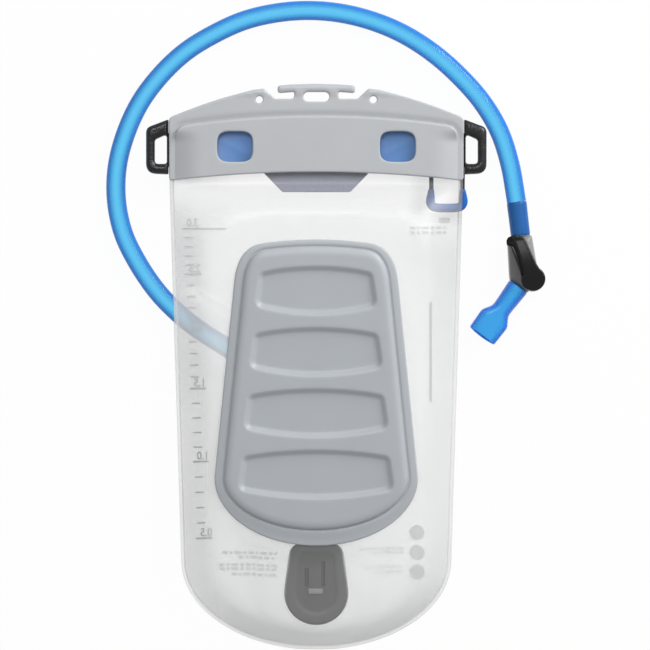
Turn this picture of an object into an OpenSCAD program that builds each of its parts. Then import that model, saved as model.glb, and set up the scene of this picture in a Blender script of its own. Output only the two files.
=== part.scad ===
// Zip-top hydration bladder of about three litres, lying on its front face.
// X runs across the bag, Y towards the hanger and Z up through the rear plate. Sizes in millimetres.

/* [Bag] */
// Length from the cover's lower corners to the round bottom
bag_len = 304.6; // [260:0.2:360]
// Width at the cover
bag_top_w = 190.8; // [176:0.2:210]
// Width where the round bottom starts
bag_low_w = 175.5; // [165:0.5:190]
// Depth of the round bottom
bag_round = 58.2; // [50:0.2:70]
// Thickness of each film
film_t = 0.8; // [0.5:0.1:1.2]
// Width of the weld round the edge
weld_w = 2.8; // [2:0.2:5]
// Height of the weld plane over the resting face
seam_z = 16; // [15.5:0.5:20]
// Height of the rear film under the plate
crown_z = 36; // [30:0.5:50]
// How far the rear film would swell over the weld with no plate on it
rear_swell = 36; // [32:1:50]
// How far the front film would swell under the weld with no floor
front_swell = 26; // [22:1:40]

/* [Hanger cover] */
// Height from the lower corners to the top of the T-bar
cover_h = 63; // [61:0.5:75]
// How far the cover stands past the film at each end
cover_over = 0.3; // [0.1:0.1:3]
// Height of the two ends
cover_end_h = 41; // [38:0.5:45]
// Rise of the arched lower edge
cover_arch = 5.6; // [0:0.2:8]
// Thickness of the flange that carries the T-bar
flange_t = 3.2; // [2.4:0.1:4.5]
// Thickness over the raised panel
panel_t = 5.8; // [5:0.1:8]
// Wall of the raised panel
panel_wall = 2; // [1.4:0.1:2.5]
// Margin between the ends and the raised panel
panel_margin = 4.6; // [3:0.2:7]
// Length of the T-bar
t_bar_w = 50.4; // [46:0.2:58]
// Height of the T-bar's section
t_bar_h = 5; // [4:0.2:6]
// Width of each post under the T-bar
post_w = 6; // [4:0.2:7]
// Width of the strap slot
slot_w = 16.8; // [12:0.2:19]
// Height of the strap slot
slot_h = 6.6; // [5:0.2:8]
// Radius of the lashing holes
lash_r = 2.28; // [1.5:0.02:3]
// Distance between the lashing holes
lash_pitch = 74; // [72:0.5:78]
// Width of each window
window_w = 23.2; // [18:0.2:28]
// Height of each window
window_h = 20; // [14:0.2:22]
// Distance between the windows' centres
window_pitch = 105.6; // [80:0.2:115]

/* [Zip] */
// Distance from the film's edge to the end of the tapes
zip_inset = 3.9; // [3:0.1:8]
// Height of the zip's line over the cover's lower corners
zip_rise = 22.5; // [22:0.5:24]
// Width of each tape
tape_w = 16.5; // [15.5:0.5:17]
// Thickness of each tape
tape_t = 0.9; // [0.6:0.1:1.2]
// Width over the rails' heads
rail_w = 7.2; // [6:0.2:8]
// Depth of the rails' heads
rail_head = 1.8; // [1.4:0.1:2.4]
// Depth of the neck between head and tape
rail_neck = 1.4; // [1.2:0.1:2]
// How far each head overhangs its neck
rail_lip = 1.2; // [0.8:0.1:1.5]
// Pitch of the teeth
tooth_pitch = 3; // [2.5:0.1:5]
// Reach of the teeth past the middle line
tooth_reach = 1; // [0.6:0.1:1.4]
// Length of the end stops
stop_len = 1.8; // [1:0.1:2.5]
// Length of the slider
slider_len = 10; // [8:0.5:16]
// Wall of the slider
slider_wall = 1.5; // [1.2:0.1:2]
// Reach of the slider's lug to the cord's axis
lug_reach = 5.6; // [5:0.2:7]
// Width of the slider's lug
lug_w = 5; // [4:0.2:7]

/* [Zip pull] */
// Distance from the hinge to the far edge of the grip
pull_len = 31.5; // [26:0.5:33]
// Width between the cord's two arms
pull_w = 19.5; // [14:0.5:24]
// Diameter of the cord
pull_cord_d = 3; // [2:0.1:3.4]
// Length of the grip's legs and bar
grip_len = 14.5; // [10:0.5:18]
// Thickness of the grip
grip_t = 4.6; // [4:0.1:5]
// Slope of the pull at rest, in degrees
pull_slope = 8; // [6:0.5:9]

/* [Pull loops] */
// Reach of each loop past the cover
loop_reach = 14.7; // [13:0.1:20]
// Height of each loop
loop_h = 36; // [33:0.5:38]
// Thickness of each loop
loop_t = 8; // [6:0.5:10]
// Width of the loop's outer bar
loop_bar = 5.8; // [4:0.2:6.5]

/* [Front grip tab] */
// Width of the tab at the cover's edge
tab_top_w = 69; // [60:1:90]
// Width of the tab at its lower edge
tab_low_w = 44; // [30:1:60]
// Thickness of the tab
tab_t = 1.6; // [1:0.1:2.4]

/* [Rear plate] */
// Distance from the bag's bottom to the plate's bottom
plate_rise = 67.8; // [64:0.2:74]
// Distance from the plate's top to the cover's lower corners
plate_head = 38.1; // [36:0.1:60]
// Width of the plate near its top
plate_top_w = 104; // [100:0.5:112]
// Width of the plate where its round bottom starts
plate_low_w = 131; // [126:0.5:136]
// Depth of the plate's round bottom
plate_round = 45; // [40:0.5:50]
// Thickness of the sheet
plate_t = 1.6; // [1:0.1:2]
// Height of the raised panel over the flange
plate_raise = 2.6; // [2:0.1:4]
// Width of the flange at the sides
plate_flange = 6.2; // [4:0.2:8]
// Number of pockets
pocket_n = 4; // [1:1:4]
// Width of the rib between two pockets
pocket_rib = 6.4; // [5:0.2:12]
// Width of the first pocket
pocket_w = 77.4; // [60:0.2:80]
// How much wider each next pocket is
pocket_grow = 7.2; // [5:0.2:7.6]

/* [Port] */
// Distance from the bag's bottom to the centre of the port's round end
port_rise = 36.9; // [35:0.2:42]
// Radius of the base's round end
port_r = 20.9; // [18:0.1:22]
// Length of the base from the round end's centre to its top
port_len = 33; // [28:0.5:36]
// Thickness of the base
port_base_t = 2.2; // [1.8:0.1:3]
// Gap under the socket
port_foot_z = 0.4; // [0.2:0.1:0.8]
// Width of the socket
socket_w = 21; // [20:0.5:24]
// Reach of the socket from the round end's centre to its mouth
socket_len = 34.9; // [34:0.1:36]
// Radius of the neck through the film
neck_r = 6; // [5:0.1:7]
// Radius of the plug's nose
plug_r = 4; // [3.6:0.1:4.2]
// Travel of the latch
latch_travel = 1.2; // [1:0.1:1.3]
// Width of the latch plate
latch_w = 16; // [15.6:0.1:17]
// Thickness of the latch plate
latch_t = 2.4; // [1.6:0.1:2.6]
// Radius of the poppet's head
poppet_r = 3.4; // [3:0.1:3.8]

/* [Hose] */
// Outside diameter of the hose
hose_od = 12.7; // [11:0.1:12.8]
// Bore of the hose
hose_id = 8; // [7:0.1:9]
// Radius of the barbs in the hose and cuff
barb_r = 3.6; // [3:0.1:3.65]
// Length of the barbs
barb_len = 18; // [12:0.5:20]

/* [Shut-off valve] */
// Length of the cuff
cuff_len = 22.2; // [20.2:0.1:28]
// Lean of the cuff from straight down, in degrees
cuff_lean = 6.7; // [0:0.1:15]
// Thickness of the valve body
valve_t = 14.2; // [13.6:0.2:15]
// Radius of the spool
spool_r = 6.2; // [5.8:0.1:6.6]
// Radius of the water passages
passage_r = 1.9; // [1.4:0.1:2]
// Radius of the lever's disc
lever_disc_r = 7.9; // [7:0.1:9]
// Thickness of the lever
lever_t = 3.4; // [2.4:0.1:5]

/* [Bite valve] */
// Length of the bite valve
bite_len = 39.4; // [34:0.2:46]
// Radius of its neck
bite_neck_r = 7.1; // [6:0.1:7.2]
// Width of its mouth
bite_w = 20; // [16:0.2:24]
// Thickness of its mouth
bite_t = 13; // [10:0.2:14]

/* [Fits] */
// Radial clearance of turning and plugged fits
fit_gap = 0.05; // [0.02:0.01:0.1]
// Clearance of loose sliding pieces
slide_gap = 0.25; // [0.2:0.05:0.4]
// Clearance between neighbours that do not touch
side_gap = 0.3; // [0.2:0.05:0.5]

/* [Hidden] */
$fn = 48;

// Main lines along Y, with the middle of the whole length at zero
y_bottom = -(bag_len + cover_h) / 2;
y_cover = y_bottom + bag_len;
y_top = y_cover + cover_h;
y_round = y_bottom + bag_round;
y_zip = y_cover + zip_rise;

// Levels of the closure, from the rear film down to the pull
cover_z = seam_z + film_t;
tape_z = seam_z - film_t - tape_t;
neck_z = tape_z - rail_neck;
head_z = neck_z - rail_head;
slider_z = head_z - slide_gap - slider_wall;

// Films: rows and columns of the surface, and how sharply the sides swell
front_cols = 18;
front_rows = 26;
rear_cols = 14;
rear_rows = 20;
round_rows = 8;
swell_power = 3;
rear_run = 45;
crown_blend = 6;
front_run = 60;
tongue_h = zip_rise + tape_w + 0.7;
film_lap = zip_rise - tape_w + 1.2;

// Space under the front film for the hose and the port
lift_gap = 0.4;
lift_side = 11;
lift_slope = 0.9;

// Hanger
cover_w = bag_top_w + 2 * cover_over;
y_notch = y_top - 9.8;
y_hump = y_top - 3;
hump_out = lash_pitch / 2 + 4.2;
hump_in = lash_pitch / 2 - 3;
hump_drop = 0.9;
notch_out = t_bar_w / 2 + 1.6;
slope_bow = 1.2;
t_bar_sag = 1.1;
y_slot = y_top - t_bar_h - slot_h / 2;
y_lash = y_top - 10.3;
y_panel = y_top - 20.8;
panel_sag = 6.9;
panel_corner = 7;
panel_step = 0.8;
window_corner = 6;
window_bow = 1.6;
panel_roof = 1.8;

// Slider and pull
zip_len = bag_top_w - 2 * zip_inset;
zip_end = zip_len / 2;
stop_inset = 0.2;
rail_end = zip_end - stop_len - stop_inset;
slider_stop = 0.5;
slider_x = rail_end - slider_stop - slider_len / 2;
slider_half = rail_w / 2 + slide_gap + slider_wall;
hinge_y = y_zip - slider_half - lug_reach;
hinge_drop = 1.9;
hinge_z = slider_z - hinge_drop;
lug_r = 3;
grip_round = 6;
grip_inner_round = 3;
grip_bar = grip_t + 1;

// Pull loops
loop_x = cover_w / 2 + side_gap;
loop_y = y_cover + 4.2;
loop_inner = 1.2;
loop_low_cut = [5.5, 7.5];
loop_nose = [1.6, 6];
loop_nose_drop = 8.4;
loop_gap_low = 7;
loop_gap_high = [10, 13.5];
loop_tab_low = 5;
loop_tab_high = 9;
loop_tab_z = tape_z - 1.6;
loop_tab_t = seam_z - 0.2 - loop_tab_z;
loop_under = 0.6;

// Rear plate
plate_z = crown_z + film_t;
plate_y = y_bottom + plate_rise;
plate_len = bag_len - plate_rise - plate_head;
plate_top_y = plate_y + plate_len;
plate_round_y = plate_y + plate_round;
plate_corner = 20;
plate_shoulder = 20;
plate_bow = 1;
plate_end = 10.6;
plate_end_share = 0.8;
pocket_head = 16.9;
pocket_foot = 24.2;
pocket_top_y = plate_top_y - pocket_head;
pocket_pitch = (plate_len - pocket_head - pocket_foot) / pocket_n;
pocket_h = pocket_pitch - pocket_rib;
pocket_lean = 1.2;
pocket_straight = 2.4;
pocket_corner = 5;
pocket_sag_top = 4.3;
pocket_sag_low = 5.4;

// Port, along Y from the mouth of the socket inwards
hose_rest = hose_od / 2 + 0.05;
port_axis_z = hose_rest + 0.4;
port_deck_z = 2 * port_axis_z;
port_y = y_bottom + port_rise;
base_z = port_deck_z + film_t;
mouth_y = port_y + socket_len;
socket_bore_r = plug_r + fit_gap;
latch_depth = 7;
latch_y = mouth_y - latch_depth;
seat_depth = 22;
seat_y = mouth_y - seat_depth;
seat_t = 2;
chamber_r = 4.4;
back_len = 11.1;
back_y = port_y - back_len;
cap_len = 5;
tip_step = 1;
tip_r = plug_r - tip_step;
tip_gap = 0.5;
tip_y = seat_y + tip_gap;
tip_len = 6;
groove_d = 1.1;
groove_r = plug_r - groove_d;
ring_r = 0.5;
ring_pitch = 2.7;
ring_first = 1.9;
ring_y = tip_y + tip_len + ring_first;
collar_r = hose_od / 2;
collar_gap = 0.3;
poppet_lift = 2.6;
poppet_stem_r = 1.2;
poppet_t = 2;
seal_t = 0.8;
seal_y = seat_y - seat_t - poppet_lift;
poppet_back = seal_y - seal_t - poppet_t;
latch_hole_r = plug_r + 0.2;
latch_z = port_foot_z + 0.1;
latch_hole_z = port_axis_z - latch_travel;
latch_top = port_deck_z - 2.2;
latch_roof = port_deck_z - 0.7;
spring_x = latch_w / 2 - 1.6;
spring_r = 0.85;
spring_wire = 0.25;
spring_floor = latch_top - 3.7;
poppet_spring_r = 2.4;
poppet_wire = 0.4;

// Route of the hose's centre from the plug round to the cuff, with its rise over the resting height,
// as drawn for one width of bag, one socket mouth and one cover line
route_bag_w = 190.8;
route_mouth_y = -112;
route_cover_y = 120.8;
route_plan = [
    [0, -105.8, 0.4], [0, -89, 0.4], [-2, -71, 0.2], [-7, -53, 0], [-14, -36, 0], [-23, -21, 0],
    [-34, -7.5, 0], [-46, 3.5, 0], [-58.5, 12.5, 0], [-70.5, 20, 0], [-82, 28, 0], [-94, 38.5, 0],
    [-105, 50.5, 0], [-116.5, 67.5, 0], [-126, 87, 0], [-130.5, 108.5, 0], [-130, 130.5, 0],
    [-124.5, 152, 0], [-115, 172.5, 0], [-101.5, 190.5, 0], [-85.5, 205.5, 0], [-67, 217, 0],
    [-47, 226, 0], [-25.5, 231, 0], [-4, 232.5, 0], [17.5, 230.5, 0], [38.5, 225, 0], [58, 216.5, 0],
    [76.5, 204.5, 0], [93, 190, 0], [108, 173, 0], [119.5, 153.5, 0.2], [126.5, 131.5, 0.8],
    [130.7, 107.3, 1.2]
];
route_stretch = (y_cover - mouth_y) / (route_cover_y - route_mouth_y);
function route_y(y) = y > route_cover_y ? y + y_cover - route_cover_y
    : mouth_y + (y - route_mouth_y) * route_stretch;
hose_route = [for (p = route_plan) [p[0] * bag_top_w / route_bag_w, route_y(p[1]), hose_rest + p[2]]];
hose_sides = 12;
route_last = len(hose_route) - 1;
hose_end = hose_route[route_last];
cuff_dir = [sin(cuff_lean), -cos(cuff_lean), 0];

// Valve, in the cuff's own lines: the cuff runs down from its end at the hose
valve_top = -cuff_len;
valve_z = hose_end[2];
pivot_x = 4.3;
pivot_drop = 28.8;
pivot = [pivot_x, valve_top - pivot_drop];
outlet_x = -5.3;
outlet_drop = 32.6;
outlet = [outlet_x, valve_top - outlet_drop];
outlet_angle = 226.7;
valve_wall = 0.9;
pivot_boss_r = spool_r + 2;
spool_ring_r = 0.55;
spool_groove = 1.4;
spool_land = 1.6;
spool_relief = 0.3;
lever_gap = side_gap;
bite_lip = 12.5;
bite_gap = 0.2;
bite_bulge = 0.8;
bite_slit = 0.6;
bite_neck_len = 18;
bite_bore_r = barb_r + fit_gap;

function unit(v) = v / norm(v);
function mirrored(half) = concat(half, [for (i = [len(half) - 1:-1:0]) [-half[i][0], half[i][1]]]);

// One corner of an outline, drawn as a curve that starts and ends r from a right angle's point
function corner(a, p, b, r, steps = 6) =
    let (u = unit(a - p), v = unit(b - p))
    let (t = min(r / tan(acos(u * v) / 2), 0.45 * norm(a - p), 0.45 * norm(b - p)))
    [for (k = [0:steps]) let (s = k / steps)
        (1 - s) * (1 - s) * (p + u * t) + 2 * s * (1 - s) * p + s * s * (p + v * t)];

// A closed outline with a radius at each point, where zero keeps the point
function rounded(pts, radii) =
    let (n = len(pts))
    [for (i = [0:n - 1]) each radii[i] == 0
        ? [pts[i]]
        : corner(pts[(i + n - 1) % n], pts[i], pts[(i + 1) % n], radii[i])];

// Points of a tube's rings along a path, with the first and last direction given
function side_at(path, i, first, last) =
    let (n = len(path) - 1)
    let (way = i == 0 ? first : i == n ? last : unit(path[i + 1] - path[i - 1]))
    let (side = unit(cross(way, abs(way[2]) < 0.9 ? [0, 0, 1] : [1, 0, 0])))
    [side, cross(side, way)];
function ring_points(path, r, sides, first, last) =
    [for (i = [0:len(path) - 1]) let (f = side_at(path, i, first, last))
        for (k = [0:sides - 1]) let (a = 360 * k / sides)
            path[i] + r * (cos(a) * f[0] + sin(a) * f[1])];
function wall_faces(rings, sides, start, flip) =
    [for (i = [0:rings - 2], k = [0:sides - 1])
        let (a = start + i * sides + k, b = start + i * sides + (k + 1) % sides)
        for (f = [[a, b, b + sides], [a, b + sides, a + sides]])
            flip ? [f[0], f[2], f[1]] : f];

// A hollow tube, such as the hose
module hollow_tube(path, r_out, r_in, sides, first, last) {
    n = len(path);
    inner = n * sides;
    far = (n - 1) * sides;
    ends = [for (k = [0:sides - 1]) let (m = (k + 1) % sides)
        each [[k, inner + k, inner + m], [k, inner + m, m],
            [far + k, inner + far + m, inner + far + k], [far + k, far + m, inner + far + m]]];
    polyhedron(
        points = concat(ring_points(path, r_out, sides, first, last),
            ring_points(path, r_in, sides, first, last)),
        faces = concat(wall_faces(n, sides, 0, false), wall_faces(n, sides, inner, true), ends));
}

// A solid wire along a path, such as a spring
module wire(path, r, sides) {
    n = len(path);
    far = (n - 1) * sides;
    first = unit(path[1] - path[0]);
    last = unit(path[n - 1] - path[n - 2]);
    caps = [for (k = [1:sides - 2]) each [[0, k + 1, k], [far, far + k, far + k + 1]]];
    polyhedron(points = ring_points(path, r, sides, first, last),
        faces = concat(wall_faces(n, sides, 0, false), caps));
}
function helix(r, turns, rise) =
    [for (i = [0:8 * turns]) [r * cos(45 * i), r * sin(45 * i), rise * i / (8 * turns)]];

// Half width of the bag, its swell from edge to middle and its ramp from the cover
function half_w(y) = y >= y_cover ? bag_top_w / 2
    : y >= y_round ? (bag_low_w + (bag_top_w - bag_low_w) * (y - y_round) / (y_cover - y_round)) / 2
    : bag_low_w / 2 * sqrt(max(0, 1 - pow((y_round - y) / bag_round, 2)));
function edge_ratio(x, y) = y >= y_round ? abs(x) / (half_w(y) - weld_w)
    : norm([x / (bag_low_w / 2 - weld_w), (y_round - y) / (bag_round - weld_w)]);
function swell(x, y) = max(0, 1 - pow(edge_ratio(x, y), swell_power));
function ramp(y, run) = max(0, min(1, (y_cover - weld_w - y) / run));
function soft_min(a, b, k) =
    let (h = max(0, min(1, 0.5 + (b - a) / (2 * k))))
    b + (a - b) * h - k * h * (1 - h);
function rear_height(x, y) =
    let (t = ramp(y, rear_run))
    seam_z + soft_min(rear_swell * swell(x, y) * t * (2 - t), crown_z - seam_z, crown_blend);

// Distances in plan that lift the front film over the hose and the port
function to_line(p, a, b) =
    let (t = max(0, min(1, (p - a) * (b - a) / ((b - a) * (b - a)))))
    norm(p - a - t * (b - a));
function flat(p) = [p[0], p[1]];
hose_hidden = 13;
function to_hose(p) =
    min([for (i = [0:hose_hidden]) to_line(p, flat(hose_route[i]), flat(hose_route[i + 1]))]);
function lift(top, d) = top - lift_slope * max(0, d);
function front_height(x, y) =
    let (t = ramp(y, front_run), p = [x, y])
    let (hose_d = to_hose(p) - hose_od / 2 - lift_side)
    let (port_d = to_line(p, [0, port_y], [0, mouth_y]) - port_r - lift_side)
    min(seam_z, film_t + max(0, seam_z - film_t - front_swell * swell(x, y) * t * t * (3 - 2 * t),
        lift(hose_route[0][2] + hose_od / 2 + lift_gap, hose_d), lift(port_deck_z, port_d)));

// Rows from the top edge to the round bottom, and the columns across one row
round_end = 83;
function film_rows(n, top) = concat([top, y_cover - weld_w],
    [for (i = [1:n]) y_cover - weld_w - i * (y_cover - weld_w - y_round) / n],
    [for (i = [1:round_rows]) y_round - bag_round * sin(round_end * i / round_rows)]);
function film_x(y, k, cols) =
    let (w = half_w(y), inner = max(w - weld_w, 0.7 * w))
    k == 0 ? -w : k == cols + 2 ? w : inner * (2 * (k - 1) / cols - 1);

// A film of even thickness between two heights, given row by row
module film(rows, cols, upper) {
    wide = cols + 3;
    count = len(rows) * wide;
    last = len(rows) - 1;
    over = [for (y = rows, k = [0:cols + 2]) let (x = film_x(y, k, cols))
        [x, y, upper ? rear_height(x, y) + film_t : front_height(x, y)]];
    under = [for (p = over) p - [0, 0, film_t]];
    faces = concat(
        [for (r = [0:last - 1], k = [0:cols + 1]) let (a = r * wide + k, d = a + wide)
            each [[a, a + 1, d + 1], [a, d + 1, d],
                [count + a, count + d + 1, count + a + 1], [count + a, count + d, count + d + 1]]],
        [for (k = [0:cols + 1]) let (a = k, b = last * wide + k)
            each [[a + 1, a, count + a], [a + 1, count + a, count + a + 1],
                [b, b + 1, count + b + 1], [b, count + b + 1, count + b]]],
        [for (r = [0:last - 1]) let (a = r * wide, b = a + wide - 1)
            each [[a, a + wide, count + a + wide], [a, count + a + wide, count + a],
                [b + wide, b, count + b], [b + wide, count + b, count + b + wide]]]);
    polyhedron(points = concat(over, under), faces = faces);
}

module rear_film() {
    color("whitesmoke") film(film_rows(rear_rows, y_cover + tongue_h), rear_cols, true);
}

module front_film() {
    color("gainsboro") difference() {
        film(film_rows(front_rows, y_cover + film_lap), front_cols, false);
        translate([0, port_y, port_deck_z - 1]) cylinder(r = neck_r + slide_gap, h = film_t + 2);
    }
}

// Outline of the rear plate, drawn in from its edge by a side and an end margin
function plate_outline(side, end) =
    let (low = plate_low_w / 2 - side, top = plate_top_w / 2 - side)
    let (shoulder_y = plate_top_y - plate_shoulder)
    let (slope = (top - low) / (shoulder_y - plate_round_y))
    let (top_x = top + slope * (plate_shoulder - end * plate_end_share))
    let (bottom = [for (i = [0:12]) let (a = -90 + 90 * i / 12)
        [low * cos(a), plate_round_y + (plate_round - end) * sin(a)]])
    let (crown = corner([top, shoulder_y], [top_x, plate_top_y - end * plate_end_share - plate_bow],
        [0, plate_top_y - end * plate_end_share], plate_corner - side))
    mirrored(concat(bottom, crown, [[0, plate_top_y - end * plate_end_share]]));

// Outline of one pocket, counted from the top, with its arched upper and lower edges
function pocket_outline(i, grow = 0) =
    let (w = (pocket_w + i * pocket_grow) / 2 + grow)
    let (top = pocket_top_y - i * pocket_pitch + grow)
    let (low = top - pocket_h - 2 * grow)
    let (upper = [for (k = [0:4]) let (x = (w - pocket_straight * pocket_corner) * (1 - k / 4))
        [x, top - pocket_sag_top * pow(x / w, 2)]])
    let (lower = [for (k = [0:4]) let (x = (w - pocket_straight * pocket_corner) * k / 4)
        [x, low + pocket_sag_low * pow(x / w, 2)]])
    let (high_y = top - pocket_sag_top, low_y = low + pocket_sag_low)
    let (high_end = corner(upper[0], [w - pocket_lean, high_y], [w, low_y], pocket_corner))
    let (low_end = corner(lower[4], [w + pocket_lean, low_y], [w, high_y], pocket_corner))
    mirrored(concat(lower, low_end, [for (k = [len(high_end) - 1:-1:0]) high_end[k]], upper));

module pocket_wells(grow, z, h) {
    for (i = [0:pocket_n - 1]) translate([0, 0, z]) linear_extrude(h) polygon(pocket_outline(i, grow));
}

module rear_plate() {
    color("lightsteelblue") difference() {
        union() {
            translate([0, 0, plate_z]) linear_extrude(plate_t) polygon(plate_outline(0, 0));
            translate([0, 0, plate_z]) linear_extrude(plate_t + plate_raise)
                polygon(plate_outline(plate_flange, plate_end));
        }
        pocket_wells(0, plate_z + plate_t, plate_raise + 1);
        difference() {
            translate([0, 0, plate_z - 1]) linear_extrude(plate_raise + 1)
                polygon(plate_outline(plate_flange + plate_t, plate_end + plate_t));
            pocket_wells(plate_t, plate_z - 2, plate_raise + 3);
        }
    }
}

// Outline of the hanger cover without its T-bar
function cover_edge(half, lift_by) =
    [for (k = [0:8]) let (s = k / 8) [half * s, y_cover + cover_arch * (1 - s * s) + lift_by]];
function cover_outline() =
    let (half = cover_w / 2, y_end = y_cover + cover_end_h)
    let (slope = [for (k = [1:5]) let (s = k / 6)
        [half + (hump_out - half) * s, y_end + (y_hump - hump_drop - y_end) * s + slope_bow * sin(180 * s)]])
    let (edge = cover_edge(half, 0), n = len(slope))
    let (pts = concat([for (k = [0:8]) edge[k]], [[half, y_end]], slope,
        [[hump_out, y_hump - hump_drop], [hump_in, y_hump], [notch_out, y_notch]]))
    let (radii = concat([for (k = [0:7]) 0], [2.5, 4], [for (k = [1:n]) 0], [6, 1.6, 1.6]))
    let (ring = concat([[-half * 0.1, edge[0][1]]], pts, [[0, y_notch]]))
    let (soft = rounded(ring, concat([0], radii, [0])))
    mirrored([for (k = [1:len(soft) - 1]) soft[k]]);

// Outline of the raised panel, drawn in by a wall
function panel_outline(wall) =
    let (half = cover_w / 2 - panel_margin - wall)
    let (edge = cover_edge(half, wall + panel_step))
    let (top = [for (k = [0:8]) let (s = 1 - k / 8) [half * s, y_panel - wall - panel_sag * s * s]])
    let (end = corner(edge[8], top[0], top[2], panel_corner))
    mirrored(concat(edge, end, [for (k = [3:8]) top[k]]));

// Outline of a window with bowed upper and lower edges
function window_outline(grow) =
    let (w = window_w / 2 + grow, h = window_h / 2 + grow)
    let (reach = w - window_corner - grow - 1)
    let (bow = [for (k = [0:3]) let (x = reach * k / 3) [x, -window_bow * pow(x / w, 2)]])
    let (turn = corner([0, h], [w, h - window_bow], [w, -h], window_corner + grow))
    let (low = [for (p = bow) [p[0], -h - p[1]]], high = [for (k = [3:-1:0]) [bow[k][0], h + bow[k][1]]])
    mirrored(concat(low, [for (p = turn) [p[0], -p[1]]], [for (k = [len(turn) - 1:-1:0]) turn[k]], high));

module windows(grow, h) {
    for (s = [-1, 1]) translate([s * window_pitch / 2, y_zip, 0]) linear_extrude(h)
        polygon(window_outline(grow));
}

// Outline of the T-bar, bowed down towards its rounded ends
function t_bar_outline() =
    let (half = t_bar_w / 2)
    let (bow = [for (k = [0:6]) [half * k / 7, -t_bar_sag * pow(k / 7, 2)]])
    let (low = y_top - t_bar_h, end = -t_bar_sag)
    let (tip_low = [half, low + end], tip_high = [half, y_top + end])
    let (low_end = corner([bow[6][0], low + bow[6][1]], tip_low, tip_high, t_bar_h / 2))
    let (high_end = corner(tip_low, tip_high, [bow[6][0], y_top + bow[6][1]], t_bar_h / 2))
    mirrored(concat([for (p = bow) [p[0], low + p[1]]], low_end, high_end,
        [for (k = [6:-1:0]) [bow[k][0], y_top + bow[k][1]]]));

module hanger_cover() {
    color("silver") translate([0, 0, cover_z]) difference() {
        union() {
            linear_extrude(flange_t) polygon(cover_outline());
            linear_extrude(flange_t) polygon(t_bar_outline());
            for (s = [-1, 1]) translate([s * (slot_w + post_w) / 2 - post_w / 2, y_notch - 1, 0])
                cube([post_w, y_top - t_bar_h / 2 - y_notch + 1, flange_t]);
            translate([0, 0, flange_t / 2]) linear_extrude(panel_t - flange_t / 2) polygon(panel_outline(0));
        }
        difference() {
            translate([0, 0, -1]) linear_extrude(panel_t - panel_roof + 1) polygon(panel_outline(panel_wall));
            translate([0, 0, -2]) windows(panel_wall, panel_t + 4);
        }
        translate([0, 0, -1]) windows(0, panel_t + 2);
        translate([0, y_slot, -1]) linear_extrude(flange_t + 2) square([slot_w, slot_h], center = true);
        for (s = [-1, 1]) translate([s * lash_pitch / 2, y_lash, -1]) cylinder(r = lash_r, h = flange_t + 2);
    }
}

// Zip: tapes with a weld rib or a lap, rails with teeth, end stops
slit = 0.6;
weld_rib = 5;

module zip_tape_upper() {
    color("steelblue") union() {
        translate([-zip_end, y_zip + slit / 2, tape_z]) cube([zip_len, tape_w - slit / 2, tape_t]);
        translate([-zip_end, y_zip + tape_w - weld_rib, tape_z]) cube([zip_len, weld_rib, seam_z - tape_z]);
    }
}

module zip_tape_lower() {
    color("steelblue") translate([-zip_end, y_zip - tape_w, tape_z])
        cube([zip_len, tape_w - slit / 2, tape_t]);
}

// Toothed line between the rails, moved off the middle by a small gap
tooth_gap = 0.06;
tooth_n = floor(2 * rail_end / tooth_pitch);
tooth_flank = 0.3;
function tooth_line(shift) =
    [for (i = [0:tooth_n - 1]) let (x = (i - tooth_n / 2) * tooth_pitch)
        let (half = x + tooth_pitch / 2, low = shift - tooth_reach, high = shift + tooth_reach)
            each [[x, low], [half - tooth_flank, low], [half, high], [x + tooth_pitch - tooth_flank, high]]];

module zip_rail(side) {
    line = tooth_line(side * tooth_gap);
    far = side * rail_w / 2;
    neck = rail_w / 2 - rail_lip;
    translate([0, y_zip, head_z]) linear_extrude(rail_head)
        polygon(concat([[-rail_end, far], [-rail_end, line[0][1]]], line,
            [[rail_end, line[len(line) - 1][1]], [rail_end, far]]));
    translate([-rail_end, y_zip + (side > 0 ? slit / 2 : -neck), neck_z])
        cube([2 * rail_end, neck - slit / 2, rail_neck]);
}

module zip_rail_upper() { color("royalblue") zip_rail(1); }

module zip_rail_lower() { color("royalblue") zip_rail(-1); }

module zip_end_stops() {
    color("dimgray") for (s = [-1, 1])
        translate([s * (rail_end + stop_len / 2) - stop_len / 2, y_zip - rail_w / 2, head_z])
            cube([stop_len, rail_w, tape_z - head_z]);
}

// Slider: a channel that holds the rails' heads, with a lug for the cord
module slider() {
    inner = rail_w / 2 + slide_gap;
    throat = rail_w / 2 - rail_lip + slide_gap;
    lip_z = neck_z + slide_gap;
    top_z = tape_z - side_gap;
    section = [[-slider_half, slider_z], [slider_half, slider_z], [slider_half, top_z], [throat, top_z],
        [throat, lip_z], [inner, lip_z], [inner, head_z - slide_gap], [-inner, head_z - slide_gap],
        [-inner, lip_z], [-throat, lip_z], [-throat, top_z], [-slider_half, top_z]];
    color("slategray") union() {
        translate([slider_x - slider_len / 2, y_zip, 0]) rotate([90, 0, 90]) linear_extrude(slider_len)
            polygon(section);
        difference() {
            translate([slider_x - lug_w / 2, 0, 0]) rotate([90, 0, 90]) linear_extrude(lug_w) union() {
                translate([hinge_y, hinge_z]) circle(r = lug_r);
                polygon([[hinge_y, hinge_z - lug_r], [hinge_y + lug_reach, slider_z], [y_zip, slider_z],
                    [y_zip, slider_z + slider_wall], [hinge_y, hinge_z + lug_r]]);
            }
            translate([slider_x - lug_w, hinge_y, hinge_z]) rotate([0, 90, 0])
                cylinder(d = pull_cord_d + 2 * fit_gap, h = 2 * lug_w);
        }
    }
}

// The pull, drawn along its own length from the hinge and sloped down to rest
module on_pull() {
    translate([slider_x, hinge_y, hinge_z]) rotate([pull_slope, 0, 0]) children();
}
cord_low = -(pull_len - grip_len);

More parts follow.
